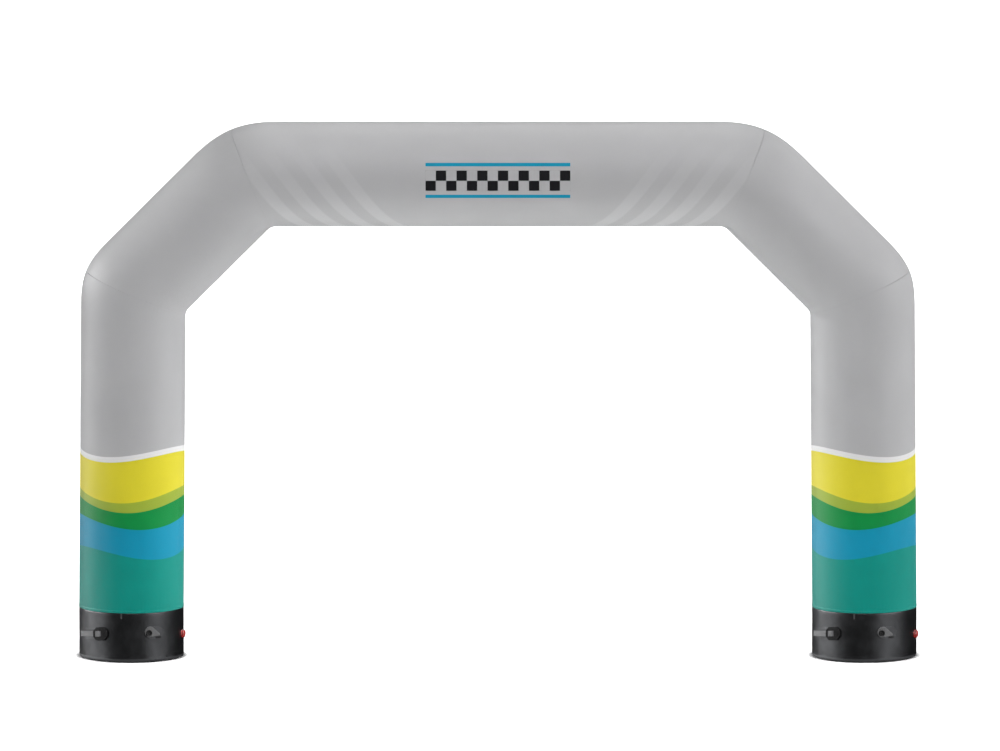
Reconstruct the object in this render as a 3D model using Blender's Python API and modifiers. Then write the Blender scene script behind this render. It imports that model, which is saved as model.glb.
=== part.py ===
"""Inflatable start and finish arch: a printed cloth tube with four bends, on two coated bases.

Metres, +Z up. X runs along the arch, its front faces -Y, and the origin is on the ground,
midway between the two bases.
"""

import math

import bmesh
import bpy
from mathutils import Vector

# The tube
TUBE_RADIUS = 0.381
LEG_X = 2.652  # the middle of the arch to the top of a leg's centre line
SPLAY = 0.018  # how much farther out the foot of a leg stands
HEADER_Z = 3.535  # height of the header's centre line
SHOULDER_X = 1.804  # the middle to where the centre lines of header and haunch meet
BEND = math.radians(45)  # turn of the tube at each of its four bends
BEND_INSIDE = 0.08  # radius of the inside of a bend
LOWER_FULLNESS = 0.026  # how far the outside of a lower bend stands out past a plain arc
UPPER_FULLNESS = 0.008  # the same for an upper bend
BEND_STEPS = 4  # straight stretches from the start of a bend to its seam
TUBE_SIDES = 40
SEAM = 0.5  # share of a bend at which its two panels meet
SEAM_WAIST = 0.003  # how far a seam draws the cloth in
OVERRUN = 2  # stretches that a panel's tube runs past its seam before it is cut there

# The bases
BOOT_HEIGHT = 0.366
BOOT_EDGE = 0.012  # radius of the rounded lower edge
BOOT_EDGE_STEPS = 3
BOOT_SIDES = 72
BOOT_WAIST_HEIGHT = 0.012  # height over which the top is drawn in to the hem

# Clearances
GAP = 0.0003  # between pieces that touch
WRAP_STEP = math.radians(2.5)  # facets of a piece that is wrapped on a base
CORNER_STEPS = 4  # facets of a plate's rounded corner
MERGE = 0.00001  # points closer than this are one
SMOOTH_BELOW = math.radians(35)  # edges flatter than this are shaded smooth

# Tab sewn under the hem
TAB_BELOW_HEM = 0.004
TAB_WIDTH = 0.010
TAB_HEIGHT = 0.041
TAB_CORNER = 0.002
TAB_THICKNESS = 0.0015

# Anchor point: a patch, a strap on it and the strap's buckle
ANCHOR_Z = 0.206
ANCHOR_TILT = 0.117  # rise of its pieces for each metre along the wall
PATCH_THICKNESS = 0.002
ANCHOR_PATCH_LEFT = 0.262  # from the buckle's middle, along the wall of the base
ANCHOR_PATCH_RIGHT = 0.042
ANCHOR_PATCH_HEIGHT = 0.084
ANCHOR_PATCH_CORNER = 0.018
STRAP_WIDTH = 0.041
STRAP_THICKNESS = 0.0025
CLIMB_STEPS = 6  # facets of the strap where it climbs through a slot
BUCKLE_LEFT = 0.0725
BUCKLE_RIGHT = 0.054
BUCKLE_HEIGHT = 0.096
BUCKLE_CORNER = 0.027  # size of the cut-off corners
BUCKLE_THICKNESS = 0.005
SLOT_HEIGHT = 0.047
SLOT_WIDTH = 0.012
SLOT_CORNER = 0.003
ENTRY_SLOT = -0.0485  # middle of the slot that the strap comes up through
EXIT_SLOT = -0.006  # middle of the slot that it goes down through
STRAP_START = -0.254
STRAP_END = 0.012

# Valve: a patch, a leaf-shaped collar, the throat in its hole and a pull at its tip
VALVE_Z = 0.2155
VALVE_PATCH_MIDDLE = 0.045  # from the throat's axis to the middle of the oval patch
VALVE_PATCH_WIDTH = 0.160
VALVE_PATCH_HEIGHT = 0.096
VALVE_PATCH_SCALLOPS = 18
VALVE_PATCH_DIP = 0.0018  # depth between two scallops
SCALLOP_STEPS = 3
LEAF_RADIUS = 0.0385
LEAF_ROOT = Vector((0.008, 0.010))  # the round end's middle, from the throat's axis
LEAF_TIP = Vector((0.078, -0.013))
LEAF_TIP_RADIUS = 0.009
LEAF_STEPS = 16  # facets of the round end
LEAF_TIP_STEPS = 4
LEAF_THICKNESS = 0.005
THROAT_RADIUS = 0.0165
THROAT_WALL = 0.005
THROAT_HEIGHT = 0.014
THROAT_FLOOR = 0.003
THROAT_SIDES = 24
THROAT_CLEARANCE = 0.0012  # round the throat in the collar's hole
PULL_MIDDLE = Vector((0.075, -0.034))
PULL_SIZE = Vector((0.044, 0.015))
PULL_CORNER = 0.004

# Red cap
CAP_Z = 0.174
CAP_RADIUS = 0.029
CAP_HEIGHT = 0.026
CAP_CROWN = 0.011  # how far the rounded face rises above the cap's side
CAP_SIDES = 24
CAP_STEPS = 4

FOOT_X = LEG_X + SPLAY
CORNER_Z = HEADER_Z - (LEG_X - SHOULDER_X) / math.tan(BEND)

# Where each base's fittings sit, in degrees round it: 0 is the front, and 90 faces +X.
SIDES = {
    "left": {"x": -FOOT_X, "tab": -10.2, "anchor": -33.9, "valve": 20.2, "cap": 75.0},
    "right": {"x": FOOT_X, "tab": -12.2, "anchor": -36.0, "valve": 18.2, "cap": 72.9},
}

# Colours as red, green, blue, then roughness
FINISHES = {
    "cover_cloth": ((0.45, 0.45, 0.46), 0.75),
    "base_coating": ((0.02, 0.02, 0.022), 0.35),
    "webbing": ((0.30, 0.30, 0.31), 0.7),
    "black_moulding": ((0.025, 0.025, 0.028), 0.4),
    "grey_moulding": ((0.22, 0.22, 0.23), 0.45),
    "red_moulding": ((0.62, 0.04, 0.03), 0.35),
}


def clear_scene():
    for item in list(bpy.data.objects):
        bpy.data.objects.remove(item, do_unlink=True)


def material(name):
    found = bpy.data.materials.get(name)
    if found:
        return found
    colour, roughness = FINISHES[name]
    made = bpy.data.materials.new(name)
    made.use_nodes = True
    shader = made.node_tree.nodes["Principled BSDF"]
    shader.inputs["Base Color"].default_value = (*colour, 1)
    shader.inputs["Roughness"].default_value = roughness
    shader.inputs["Metallic"].default_value = 0
    return made


def add_object(name, data, finish, collection):
    """Puts a mesh or a curve in the scene as one named piece."""
    piece = bpy.data.objects.new(name, data)
    data.materials.append(material(finish))
    collection.objects.link(piece)
    return piece


def curve_mesh(curve):
    """A curve's surface as a mesh, with its caps welded to its sides."""
    guide = bpy.data.objects.new(curve.name, curve)
    bpy.context.scene.collection.objects.link(guide)
    seen = guide.evaluated_get(bpy.context.evaluated_depsgraph_get())
    mesh = bpy.data.meshes.new_from_object(seen)
    bpy.data.objects.remove(guide, do_unlink=True)
    shape = bmesh.new()
    shape.from_mesh(mesh)
    bmesh.ops.remove_doubles(shape, verts=shape.verts, dist=MERGE)
    bmesh.ops.recalc_face_normals(shape, faces=shape.faces)
    bpy.data.meshes.remove(mesh)
    return shape


def finished_mesh(name, shape):
    """A mesh from a bmesh, with its round stretches shaded smooth."""
    mesh = bpy.data.meshes.new(name)
    shape.to_mesh(mesh)
    shape.free()
    mesh.shade_smooth()
    mesh.set_sharp_from_angle(angle=SMOOTH_BELOW)
    return mesh


# The cloth tube


def heading(turn):
    """Direction of the tube's centre line after it has leaned over by turn from straight up."""
    return Vector((math.sin(turn), 0, math.cos(turn)))


def bend_pivot(corner, turn_in):
    """The point that a bend turns round."""
    inward = Vector((math.cos(turn_in), 0, -math.sin(turn_in)))
    radius = TUBE_RADIUS + BEND_INSIDE
    return corner - heading(turn_in) * radius * math.tan(BEND / 2) + inward * radius


def bend(corner, turn_in):
    """A bend's centre line as a function of the share of the bend that is passed."""
    radius = TUBE_RADIUS + BEND_INSIDE
    pivot = bend_pivot(corner, turn_in)

    def place(share):
        turn = turn_in + BEND * share
        return pivot - Vector((math.cos(turn), 0, -math.sin(turn))) * radius

    return place


LOWER_CORNER = Vector((-LEG_X, 0, CORNER_Z))
UPPER_CORNER = Vector((-SHOULDER_X, 0, HEADER_Z))
LOWER_BEND = bend(LOWER_CORNER, 0.0)
UPPER_BEND = bend(UPPER_CORNER, BEND)
SHARE_STEP = SEAM / BEND_STEPS


def filled_out(shape):
    """Moves the outside of each bend out, most at its seam and nothing at its ends."""
    reach = TUBE_RADIUS + BEND_INSIDE
    bends = ((LOWER_CORNER, 0.0, LOWER_FULLNESS), (UPPER_CORNER, BEND, UPPER_FULLNESS))
    for vert in shape.verts:
        half = -1 if vert.co.x > 0 else 1
        for corner, turn_in, fullness in bends:
            pivot = bend_pivot(corner, turn_in)
            arm = Vector((vert.co.x * half - pivot.x, 0, vert.co.z - pivot.z))
            share = (math.atan2(arm.z, -arm.x) - turn_in) / BEND
            beyond = arm.length - reach
            if 0 < share < 1 and 0 < beyond < 2 * TUBE_RADIUS:
                push = fullness * math.sin(math.pi * share) ** 2 * beyond / TUBE_RADIUS
                out = arm.normalized() * push
                vert.co += Vector((out.x * half, 0, out.z))


def splayed(shape):
    """Leans the straight stretch of a leg out towards its foot."""
    top = LOWER_BEND(0).z
    for vert in shape.verts:
        if vert.co.z < top:
            shift = SPLAY * min((top - vert.co.z) / (top - BOOT_HEIGHT), 1)
            vert.co.x += math.copysign(shift, vert.co.x)


def bend_start_to_seam(place):
    """Centre line from a bend's start past its seam, with the seam midway between two rings."""
    rings = range(BEND_STEPS + OVERRUN)
    return [place(0)] + [place((ring + 0.5) * SHARE_STEP) for ring in rings]


def bend_seam_to_end(place):
    """Centre line from before a bend's seam to its end, with the seam midway between two rings."""
    rings = range(BEND_STEPS + OVERRUN)
    return [place(1 - (ring + 0.5) * SHARE_STEP) for ring in reversed(rings)] + [place(1)]


def tube(name, route):
    """A closed round tube along a route."""
    curve = bpy.data.curves.new(name, "CURVE")
    curve.dimensions = "3D"
    curve.bevel_depth = TUBE_RADIUS
    curve.bevel_resolution = TUBE_SIDES // 2 - 2
    curve.use_fill_caps = True
    spline = curve.splines.new("POLY")
    spline.points.add(len(route) - 1)
    for point, place in zip(spline.points, route):
        point.co = (*place, 1)
    shape = curve_mesh(curve)
    bpy.data.curves.remove(curve)
    return shape


def cut_and_waist(shape, centre, outward):
    """Cuts a tube square at a seam, half a gap short of it, closes it and draws its end in."""
    level = centre - outward * GAP / 2
    cut = bmesh.ops.bisect_plane(
        shape,
        geom=shape.verts[:] + shape.edges[:] + shape.faces[:],
        plane_co=level,
        plane_no=outward,
        clear_outer=True,
    )
    rim = [part for part in cut["geom_cut"] if isinstance(part, bmesh.types.BMVert)]
    edges = [part for part in cut["geom_cut"] if isinstance(part, bmesh.types.BMEdge)]
    bmesh.ops.contextual_create(shape, geom=edges)
    for vert in rim:
        from_centre = vert.co - level
        vert.co = level + from_centre * (1 - SEAM_WAIST / from_centre.length)


def cloth_panel(name, route, seams, collection):
    """A tube panel of the cover, cut at its seams."""
    shape = tube(name, route)
    filled_out(shape)
    splayed(shape)
    for centre, outward in seams:
        cut_and_waist(shape, centre, outward)
    return add_object(name, finished_mesh(name, shape), "cover_cloth", collection)


def mirrored(points):
    """The same points on the arch's other half, in the order that keeps their direction."""
    return [Vector((-point.x, point.y, point.z)) for point in reversed(points)]


def mirrored_seams(seams):
    flip = Vector((-1, 1, 1))
    return [(centre * flip, outward * flip) for centre, outward in seams]


def cloth_panels(collection):
    hem = Vector((-FOOT_X, 0, BOOT_HEIGHT + GAP / 2))
    below_hem = Vector((-LEG_X, 0, BOOT_HEIGHT / 2))
    at_hem = Vector((-LEG_X, 0, BOOT_HEIGHT))
    near_hem = Vector((-LEG_X, 0, BOOT_HEIGHT + BOOT_WAIST_HEIGHT))
    low_seam, high_seam = LOWER_BEND(SEAM), UPPER_BEND(SEAM)
    low_heading, high_heading = heading(BEND * SEAM), heading(BEND * (1 + SEAM))

    leg = [below_hem, at_hem, near_hem] + bend_start_to_seam(LOWER_BEND)
    leg_seams = [(hem, -heading(0)), (low_seam, low_heading)]
    haunch = bend_seam_to_end(LOWER_BEND) + bend_start_to_seam(UPPER_BEND)
    haunch_seams = [(low_seam, -low_heading), (high_seam, high_heading)]
    header_half = bend_seam_to_end(UPPER_BEND)
    header_seams = [(high_seam, -high_heading)]

    cloth_panel("leg_left", leg, leg_seams, collection)
    cloth_panel("leg_right", mirrored(leg), mirrored_seams(leg_seams), collection)
    cloth_panel("haunch_left", haunch, haunch_seams, collection)
    cloth_panel("haunch_right", mirrored(haunch), mirrored_seams(haunch_seams), collection)
    header = header_half + mirrored(header_half)
    cloth_panel("header", header, header_seams + mirrored_seams(header_seams), collection)


# The bases and what is on them


def turned(name, profile, sides, finish, collection):
    """A solid of revolution about Z from a profile of (radius, height), top to bottom."""
    mesh = bpy.data.meshes.new(name)
    edges = [(start, start + 1) for start in range(len(profile) - 1)]
    mesh.from_pydata([(radius, 0, height) for radius, height in profile], edges, [])
    piece = add_object(name, mesh, finish, collection)
    screw = piece.modifiers.new("Turn", "SCREW")
    screw.axis = "Z"
    screw.steps = sides
    screw.render_steps = sides
    screw.use_merge_vertices = True
    screw.merge_threshold = MERGE
    screw.use_smooth_shade = True
    return piece


def boot(name, x, collection):
    quarter = math.pi / 2
    turns = [quarter * step / BOOT_EDGE_STEPS for step in range(BOOT_EDGE_STEPS + 1)]
    inner = TUBE_RADIUS - BOOT_EDGE
    edge = [
        (inner + BOOT_EDGE * math.cos(turn), BOOT_EDGE - BOOT_EDGE * math.sin(turn))
        for turn in turns
    ]
    top = [
        (0, BOOT_HEIGHT),
        (TUBE_RADIUS - SEAM_WAIST, BOOT_HEIGHT),
        (TUBE_RADIUS, BOOT_HEIGHT - BOOT_WAIST_HEIGHT),
    ]
    piece = turned(name, top + edge + [(0, 0)], BOOT_SIDES, "base_coating", collection)
    piece.location = (x, 0, 0)


def outline_mesh(name, outlines, thickness):
    """A flat plate, its outlines in its own plane, the first outside and the others holes."""
    curve = bpy.data.curves.new(name, "CURVE")
    curve.dimensions = "2D"
    curve.fill_mode = "BOTH"
    curve.extrude = thickness / 2
    for outline in outlines:
        spline = curve.splines.new("POLY")
        spline.points.add(len(outline) - 1)
        spline.use_cyclic_u = True
        for point, (along, up) in zip(spline.points, outline):
            point.co = (along, up, 0, 1)
    shape = curve_mesh(curve)
    bpy.data.curves.remove(curve)
    return shape


def on_wall(x, degrees, height, along, up, out):
    """A place on the wall of a base: along it, up it and out from it, from a point on it."""
    turn = math.radians(degrees) + along / TUBE_RADIUS
    reach = TUBE_RADIUS + out
    return Vector((x + reach * math.sin(turn), -reach * math.cos(turn), height + up))


def wrapped_plate(
    name, outlines, thickness, lift, side, degrees, height, finish, collection, tilt=0.0
):
    """A flat plate bent round the wall of a base, its back lifted off it."""
    shape = outline_mesh(name, outlines, thickness)
    reach = [vert.co.x for vert in shape.verts]
    first = math.ceil(min(reach) / TUBE_RADIUS / WRAP_STEP)
    last = math.floor(max(reach) / TUBE_RADIUS / WRAP_STEP)
    for step in range(first, last + 1):
        bmesh.ops.bisect_plane(
            shape,
            geom=shape.verts[:] + shape.edges[:] + shape.faces[:],
            plane_co=(step * WRAP_STEP * TUBE_RADIUS, 0, 0),
            plane_no=(1, 0, 0),
        )
    bmesh.ops.triangulate(shape, faces=shape.faces)
    for vert in shape.verts:
        out = lift + thickness / 2 + vert.co.z
        up = vert.co.y + vert.co.x * tilt
        vert.co = on_wall(SIDES[side]["x"], degrees, height, vert.co.x, up, out)
    return add_object(name, finished_mesh(name, shape), finish, collection)


def arc(centre, radius, start, end, steps):
    turns = [start + (end - start) * step / steps for step in range(steps + 1)]
    return [
        (centre[0] + radius * math.cos(turn), centre[1] + radius * math.sin(turn))
        for turn in turns
    ]


def circle(centre, radius, steps):
    return arc(centre, radius, 0, math.tau, steps)[:-1]


def rounded_box(left, right, height, corner):
    """Outline of a box with round corners, from left to right and centred in height."""
    near, far, high = right - corner, left + corner, height / 2 - corner
    centres = ((near, high), (far, high), (far, -high), (near, -high))
    quarter = math.pi / 2
    points = []
    for turn, centre in enumerate(centres):
        points += arc(centre, corner, quarter * turn, quarter * (turn + 1), CORNER_STEPS)
    return points


def cut_corner_box(left, right, height, corner):
    """Outline of an eight-sided plate."""
    high = height / 2
    return [
        (right, corner - high),
        (right, high - corner),
        (right - corner, high),
        (left + corner, high),
        (left, high - corner),
        (left, corner - high),
        (left + corner, -high),
        (right - corner, -high),
    ]


def leaf():
    """Outline of the valve's collar: a round end and a small tip joined by straight flanks."""
    axis = LEAF_TIP - LEAF_ROOT
    aim = math.atan2(axis.y, axis.x)
    spread = math.acos((LEAF_RADIUS - LEAF_TIP_RADIUS) / axis.length)
    round_end = arc(LEAF_ROOT, LEAF_RADIUS, aim + spread, aim + math.tau - spread, LEAF_STEPS)
    tip = arc(LEAF_TIP, LEAF_TIP_RADIUS, aim - spread, aim + spread, LEAF_TIP_STEPS)
    return round_end + tip


def scalloped_oval():
    """Outline of the valve's patch, its edge cut in shallow scallops."""
    count = VALVE_PATCH_SCALLOPS * SCALLOP_STEPS
    points = []
    for step in range(count):
        turn = math.tau * step / count
        dip = VALVE_PATCH_DIP * abs(math.cos(VALVE_PATCH_SCALLOPS * turn / 2))
        across = (VALVE_PATCH_WIDTH / 2 - dip) * math.cos(turn)
        up = (VALVE_PATCH_HEIGHT / 2 - dip) * math.sin(turn)
        points.append((VALVE_PATCH_MIDDLE + across, up))
    return points


def seam_tab(side, collection):
    outline = rounded_box(-TAB_WIDTH / 2, TAB_WIDTH / 2, TAB_HEIGHT, TAB_CORNER)
    height = BOOT_HEIGHT - TAB_BELOW_HEM - TAB_HEIGHT / 2
    wrapped_plate(
        f"seam_tab_{side}", [outline], TAB_THICKNESS, GAP,
        side, SIDES[side]["tab"], height, "webbing", collection,
    )


def strap_lift(along):
    """Height of the strap's back above the wall, along it from the buckle's middle."""
    low = PATCH_THICKNESS + 2 * GAP
    high = low + STRAP_THICKNESS + BUCKLE_THICKNESS + 2 * GAP

    def climb(slot):
        share = min(max((along - slot) / SLOT_WIDTH + 0.5, 0), 1)
        return share * share * (3 - 2 * share)

    return low + (high - low) * (climb(ENTRY_SLOT) - climb(EXIT_SLOT))


def strap_columns():
    """Places along the strap: even steps where it lies flat, finer ones in the slots."""
    flat = TUBE_RADIUS * WRAP_STEP
    columns = []
    along = STRAP_START
    for slot in (ENTRY_SLOT, EXIT_SLOT):
        climb_start = slot - SLOT_WIDTH / 2
        while along < climb_start - flat / 2:
            columns.append(along)
            along += flat
        climb_step = SLOT_WIDTH / CLIMB_STEPS
        columns += [climb_start + climb_step * step for step in range(CLIMB_STEPS + 1)]
        along = climb_start + SLOT_WIDTH + flat / 2
    return columns + [STRAP_END]


def anchor_strap(side, collection):
    """Webbing that lies on its patch, comes up through the buckle and goes down again."""
    shape = bmesh.new()
    rows = []
    for along in strap_columns():
        height = ANCHOR_Z + along * ANCHOR_TILT
        place = [SIDES[side]["x"], SIDES[side]["anchor"], height, along]
        edges = [
            on_wall(*place, up, strap_lift(along)) for up in (-STRAP_WIDTH / 2, STRAP_WIDTH / 2)
        ]
        rows.append([shape.verts.new(edge) for edge in edges])
    for (low, high), (next_low, next_high) in zip(rows, rows[1:]):
        shape.faces.new((low, next_low, next_high, high))
    mesh = bpy.data.meshes.new(f"anchor_strap_{side}")
    shape.to_mesh(mesh)
    shape.free()
    piece = add_object(mesh.name, mesh, "webbing", collection)
    wall = piece.modifiers.new("Thickness", "SOLIDIFY")
    wall.thickness = STRAP_THICKNESS
    wall.offset = 1
    wall.use_even_offset = False


def anchor(side, collection):
    degrees = SIDES[side]["anchor"]
    patch = rounded_box(
        -ANCHOR_PATCH_LEFT, ANCHOR_PATCH_RIGHT, ANCHOR_PATCH_HEIGHT, ANCHOR_PATCH_CORNER
    )
    wrapped_plate(
        f"anchor_patch_{side}", [patch], PATCH_THICKNESS, GAP,
        side, degrees, ANCHOR_Z, "base_coating", collection, ANCHOR_TILT,
    )
    anchor_strap(side, collection)
    slots = [
        rounded_box(slot - SLOT_WIDTH / 2, slot + SLOT_WIDTH / 2, SLOT_HEIGHT, SLOT_CORNER)
        for slot in (ENTRY_SLOT, EXIT_SLOT)
    ]
    plate = cut_corner_box(-BUCKLE_LEFT, BUCKLE_RIGHT, BUCKLE_HEIGHT, BUCKLE_CORNER)
    lift = PATCH_THICKNESS + STRAP_THICKNESS + 3 * GAP
    wrapped_plate(
        f"buckle_{side}", [plate, *slots], BUCKLE_THICKNESS, lift,
        side, degrees, ANCHOR_Z, "black_moulding", collection, ANCHOR_TILT,
    )


def seat(piece, side, degrees, height, lift):
    """Stands a turned piece on the wall of a base, its axis pointing out."""
    piece.location = on_wall(SIDES[side]["x"], degrees, height, 0, 0, lift)
    piece.rotation_euler = (math.radians(90), 0, math.radians(degrees))


def valve(side, collection):
    degrees = SIDES[side]["valve"]
    wrapped_plate(
        f"valve_patch_{side}", [scalloped_oval()], PATCH_THICKNESS, GAP,
        side, degrees, VALVE_Z, "base_coating", collection,
    )
    lift = PATCH_THICKNESS + 2 * GAP
    outer = THROAT_RADIUS + THROAT_WALL
    hole = circle((0, 0), outer + THROAT_CLEARANCE, THROAT_SIDES)
    wrapped_plate(
        f"valve_collar_{side}", [leaf(), hole], LEAF_THICKNESS, lift,
        side, degrees, VALVE_Z, "grey_moulding", collection,
    )
    pull = rounded_box(
        PULL_MIDDLE.x - PULL_SIZE.x / 2, PULL_MIDDLE.x + PULL_SIZE.x / 2,
        PULL_SIZE.y, PULL_CORNER,
    )
    wrapped_plate(
        f"valve_pull_{side}", [pull], LEAF_THICKNESS, lift,
        side, degrees, VALVE_Z + PULL_MIDDLE.y, "black_moulding", collection,
    )
    profile = [
        (0, THROAT_FLOOR),
        (THROAT_RADIUS, THROAT_FLOOR),
        (THROAT_RADIUS, THROAT_HEIGHT),
        (outer, THROAT_HEIGHT),
        (outer, 0),
        (0, 0),
    ]
    throat = turned(f"valve_throat_{side}", profile, THROAT_SIDES, "black_moulding", collection)
    seat(throat, side, degrees, VALVE_Z, lift)


def relief_cap(side, collection):
    """A round cap with a domed face and a flat back, standing on the wall of its base."""
    straight = CAP_HEIGHT - CAP_CROWN
    quarter = math.pi / 2
    turns = [quarter * step / CAP_STEPS for step in range(CAP_STEPS + 1)]
    dome = [
        (CAP_RADIUS * math.sin(turn), straight + CAP_CROWN * math.cos(turn)) for turn in turns
    ]
    profile = dome + [(CAP_RADIUS, 0), (0, 0)]
    cap = turned(f"relief_cap_{side}", profile, CAP_SIDES, "red_moulding", collection)
    seat(cap, side, SIDES[side]["cap"], CAP_Z, GAP)


def main():
    clear_scene()
    collection = bpy.data.collections.new("inflatable_arch")
    bpy.context.scene.collection.children.link(collection)
    cloth_panels(collection)
    for side, places in SIDES.items():
        boot(f"boot_{side}", places["x"], collection)
        seam_tab(side, collection)
        anchor(side, collection)
        valve(side, collection)
        relief_cap(side, collection)


main()
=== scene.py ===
import math

import bmesh
import bpy
from mathutils import Matrix, Vector
from mathutils.bvhtree import BVHTree


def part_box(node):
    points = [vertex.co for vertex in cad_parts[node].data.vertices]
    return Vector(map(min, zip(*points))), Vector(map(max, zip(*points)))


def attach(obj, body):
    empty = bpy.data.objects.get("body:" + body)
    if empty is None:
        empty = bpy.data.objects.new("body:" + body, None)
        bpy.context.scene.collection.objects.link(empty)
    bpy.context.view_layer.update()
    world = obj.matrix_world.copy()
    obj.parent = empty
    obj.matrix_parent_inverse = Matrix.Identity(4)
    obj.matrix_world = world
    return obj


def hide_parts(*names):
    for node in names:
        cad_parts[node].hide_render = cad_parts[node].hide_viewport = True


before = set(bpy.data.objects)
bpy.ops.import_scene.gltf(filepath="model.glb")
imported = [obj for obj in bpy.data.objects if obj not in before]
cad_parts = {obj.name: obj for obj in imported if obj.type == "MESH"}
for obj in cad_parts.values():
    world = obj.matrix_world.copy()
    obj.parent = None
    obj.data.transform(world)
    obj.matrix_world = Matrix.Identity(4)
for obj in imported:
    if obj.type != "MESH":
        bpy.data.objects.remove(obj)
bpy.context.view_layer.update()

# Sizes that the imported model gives, in metres
baseLow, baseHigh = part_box("boot_right")
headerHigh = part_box("header")[1]
tubeRadius = (baseHigh.x - baseLow.x) / 2
footX = (baseHigh.x + baseLow.x) / 2
baseHeight = baseHigh.z
headerZ = headerHigh.z - tubeRadius
sides = {"left": -1, "right": 1}

path = {
    "bend": math.radians(45),
    "bendInside": 0.08,  # radius of the inside of a bend
    "lowerFullness": 0.026,  # how far the outside of a lower bend stands out past a plain arc
    "upperFullness": 0.008,
    "splay": 0.018,  # how much farther out the foot of a leg stands
    "shoulderX": 1.804,  # where the middle lines of header and haunch meet
    "gap": 0.0003,  # between pieces that are seated on each other
}
legX = footX - path["splay"]
print(f"frame read: tube radius {tubeRadius:.4f}, foot {footX:.4f}, header {headerZ:.4f}")


def addNode(tree, kind, inputs=None, **settings):
    node = tree.nodes.new(kind)
    for name, value in settings.items():
        setattr(node, name, value)
    for key, value in (inputs or {}).items():
        if isinstance(value, bpy.types.NodeSocket):
            tree.links.new(value, node.inputs[key])
        else:
            node.inputs[key].default_value = value
    return node


def calc(tree, operation, *values):
    inputs = dict(enumerate(values))
    return addNode(tree, "ShaderNodeMath", inputs, operation=operation).outputs[0]


def chain(tree, operation, values):
    total = values[0]
    for value in values[1:]:
        total = calc(tree, operation, total, value)
    return total


def add(tree, *values):
    return chain(tree, "ADD", values)


def multiply(tree, *values):
    return chain(tree, "MULTIPLY", values)


def subtract(tree, first, second):
    return calc(tree, "SUBTRACT", first, second)


def sine(tree, value):
    return calc(tree, "SINE", value)


def absolute(tree, value):
    return calc(tree, "ABSOLUTE", value)


def split(tree, vector):
    return addNode(tree, "ShaderNodeSeparateXYZ", {0: vector}).outputs


def ramp(tree, value, low, high, start=0.0, end=1.0):
    ends = {"Value": value, "From Min": low, "From Max": high, "To Min": start, "To Max": end}
    return addNode(tree, "ShaderNodeMapRange", ends, interpolation_type="SMOOTHSTEP").outputs["Result"]


def blendColors(tree, share, first, second):
    node = addNode(tree, "ShaderNodeMix", data_type="RGBA")
    for index, value in ((0, share), (6, first), (7, second)):
        if isinstance(value, bpy.types.NodeSocket):
            tree.links.new(value, node.inputs[index])
        else:
            node.inputs[index].default_value = value if index == 0 else (*value, 1)
    return node.outputs[2]


def noise(tree, place, scale, detail=2.0, roughness=0.5):
    inputs = {"Vector": place, "Scale": scale, "Detail": detail, "Roughness": roughness}
    return addNode(tree, "ShaderNodeTexNoise", inputs).outputs["Fac"]


def addPiece(name, data):
    piece = bpy.data.objects.new(name, data)
    bpy.context.scene.collection.objects.link(piece)
    return piece


def plainMesh(helper, name):
    # the evaluated helper as a mesh of its own, with the helper taken away
    graph = bpy.context.evaluated_depsgraph_get()
    mesh = bpy.data.meshes.new_from_object(helper.evaluated_get(graph), depsgraph=graph)
    mesh.name = name
    bpy.data.objects.remove(helper, do_unlink=True)
    return mesh


def finishPiece(piece, nodes=()):
    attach(piece, "root")
    if nodes:
        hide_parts(*nodes)


view = {
    "distance": 150.0,
    "height": 23.123,
    "tiltDown": 0.13953,  # radians below level
    "lens": 749.48,
    "shift": 0.0021,
}

studio = {
    "backdrop": 1.0,  # what the camera sees behind the arch
    "floorColor": (0.9, 0.9, 0.9),
    "floorRadius": 60.0,
    "floorRoughness": 0.9,
    "floorDrop": 0.0005,  # below the ground, so that nothing lies in the floor
    "contactReach": 0.05,  # how far the dark line beside a base reaches
    "glowReach": (3.0, 14.0),  # where the floor fades into the backdrop
    "floorLight": 0.17,  # what the floor gives off towards the arch
    "boxDistance": 60.0,
    "aimHeight": 1.9,
    "underHeight": 0.02,
    # low boxes that face up under the header
    "underBoxes": [
        {"back": -2.0, "size": (3.4, 10), "watts": 40, "gloss": False},
        {"back": 0.0, "size": (3.4, 3), "watts": 30, "gloss": False},
        {"back": -2.0, "size": (3.4, 10), "watts": 100, "gloss": True},
    ],
    # degrees round the arch from its front and degrees above level
    "clothSize": (32, 28),
    "clothBoxes": [
        {"turn": -135, "rise": 14, "kilowatts": 18},
        {"turn": 115, "rise": 14, "kilowatts": 20},
        {"turn": 90, "rise": 14, "kilowatts": 6},
        {"turn": 0, "rise": 14, "kilowatts": 8},
        {"turn": 0, "rise": 80, "kilowatts": 18},
    ],
    # these only show as gloss, on the cloth and the coated bases, at half of their turn
    "glossSize": (16, 28),
    "glossBoxes": [
        {"turn": -105, "rise": 14, "kilowatts": 80},
        {"turn": -75, "rise": 14, "kilowatts": 45},
        {"turn": 45, "rise": 14, "kilowatts": 20},
        {"turn": 60, "rise": 14, "kilowatts": 20},
        {"turn": 75, "rise": 14, "kilowatts": 20},
        {"turn": 0, "rise": 40, "kilowatts": 25},
        {"turn": 0, "rise": 60, "kilowatts": 20},
        {"turn": 0, "rise": 80, "kilowatts": 40},
        {"turn": 180, "rise": 60, "kilowatts": 30},
    ],
}


def makeCamera():
    data = bpy.data.cameras.new("Camera")
    data.sensor_width = 36
    data.lens = view["lens"]
    data.shift_x = view["shift"]
    data.clip_start = 1
    data.clip_end = 1000
    camera = addPiece("Camera", data)
    camera.location = (0, -view["distance"], view["height"])
    camera.rotation_euler = (math.pi / 2 - view["tiltDown"], 0, 0)
    bpy.context.scene.camera = camera


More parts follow.
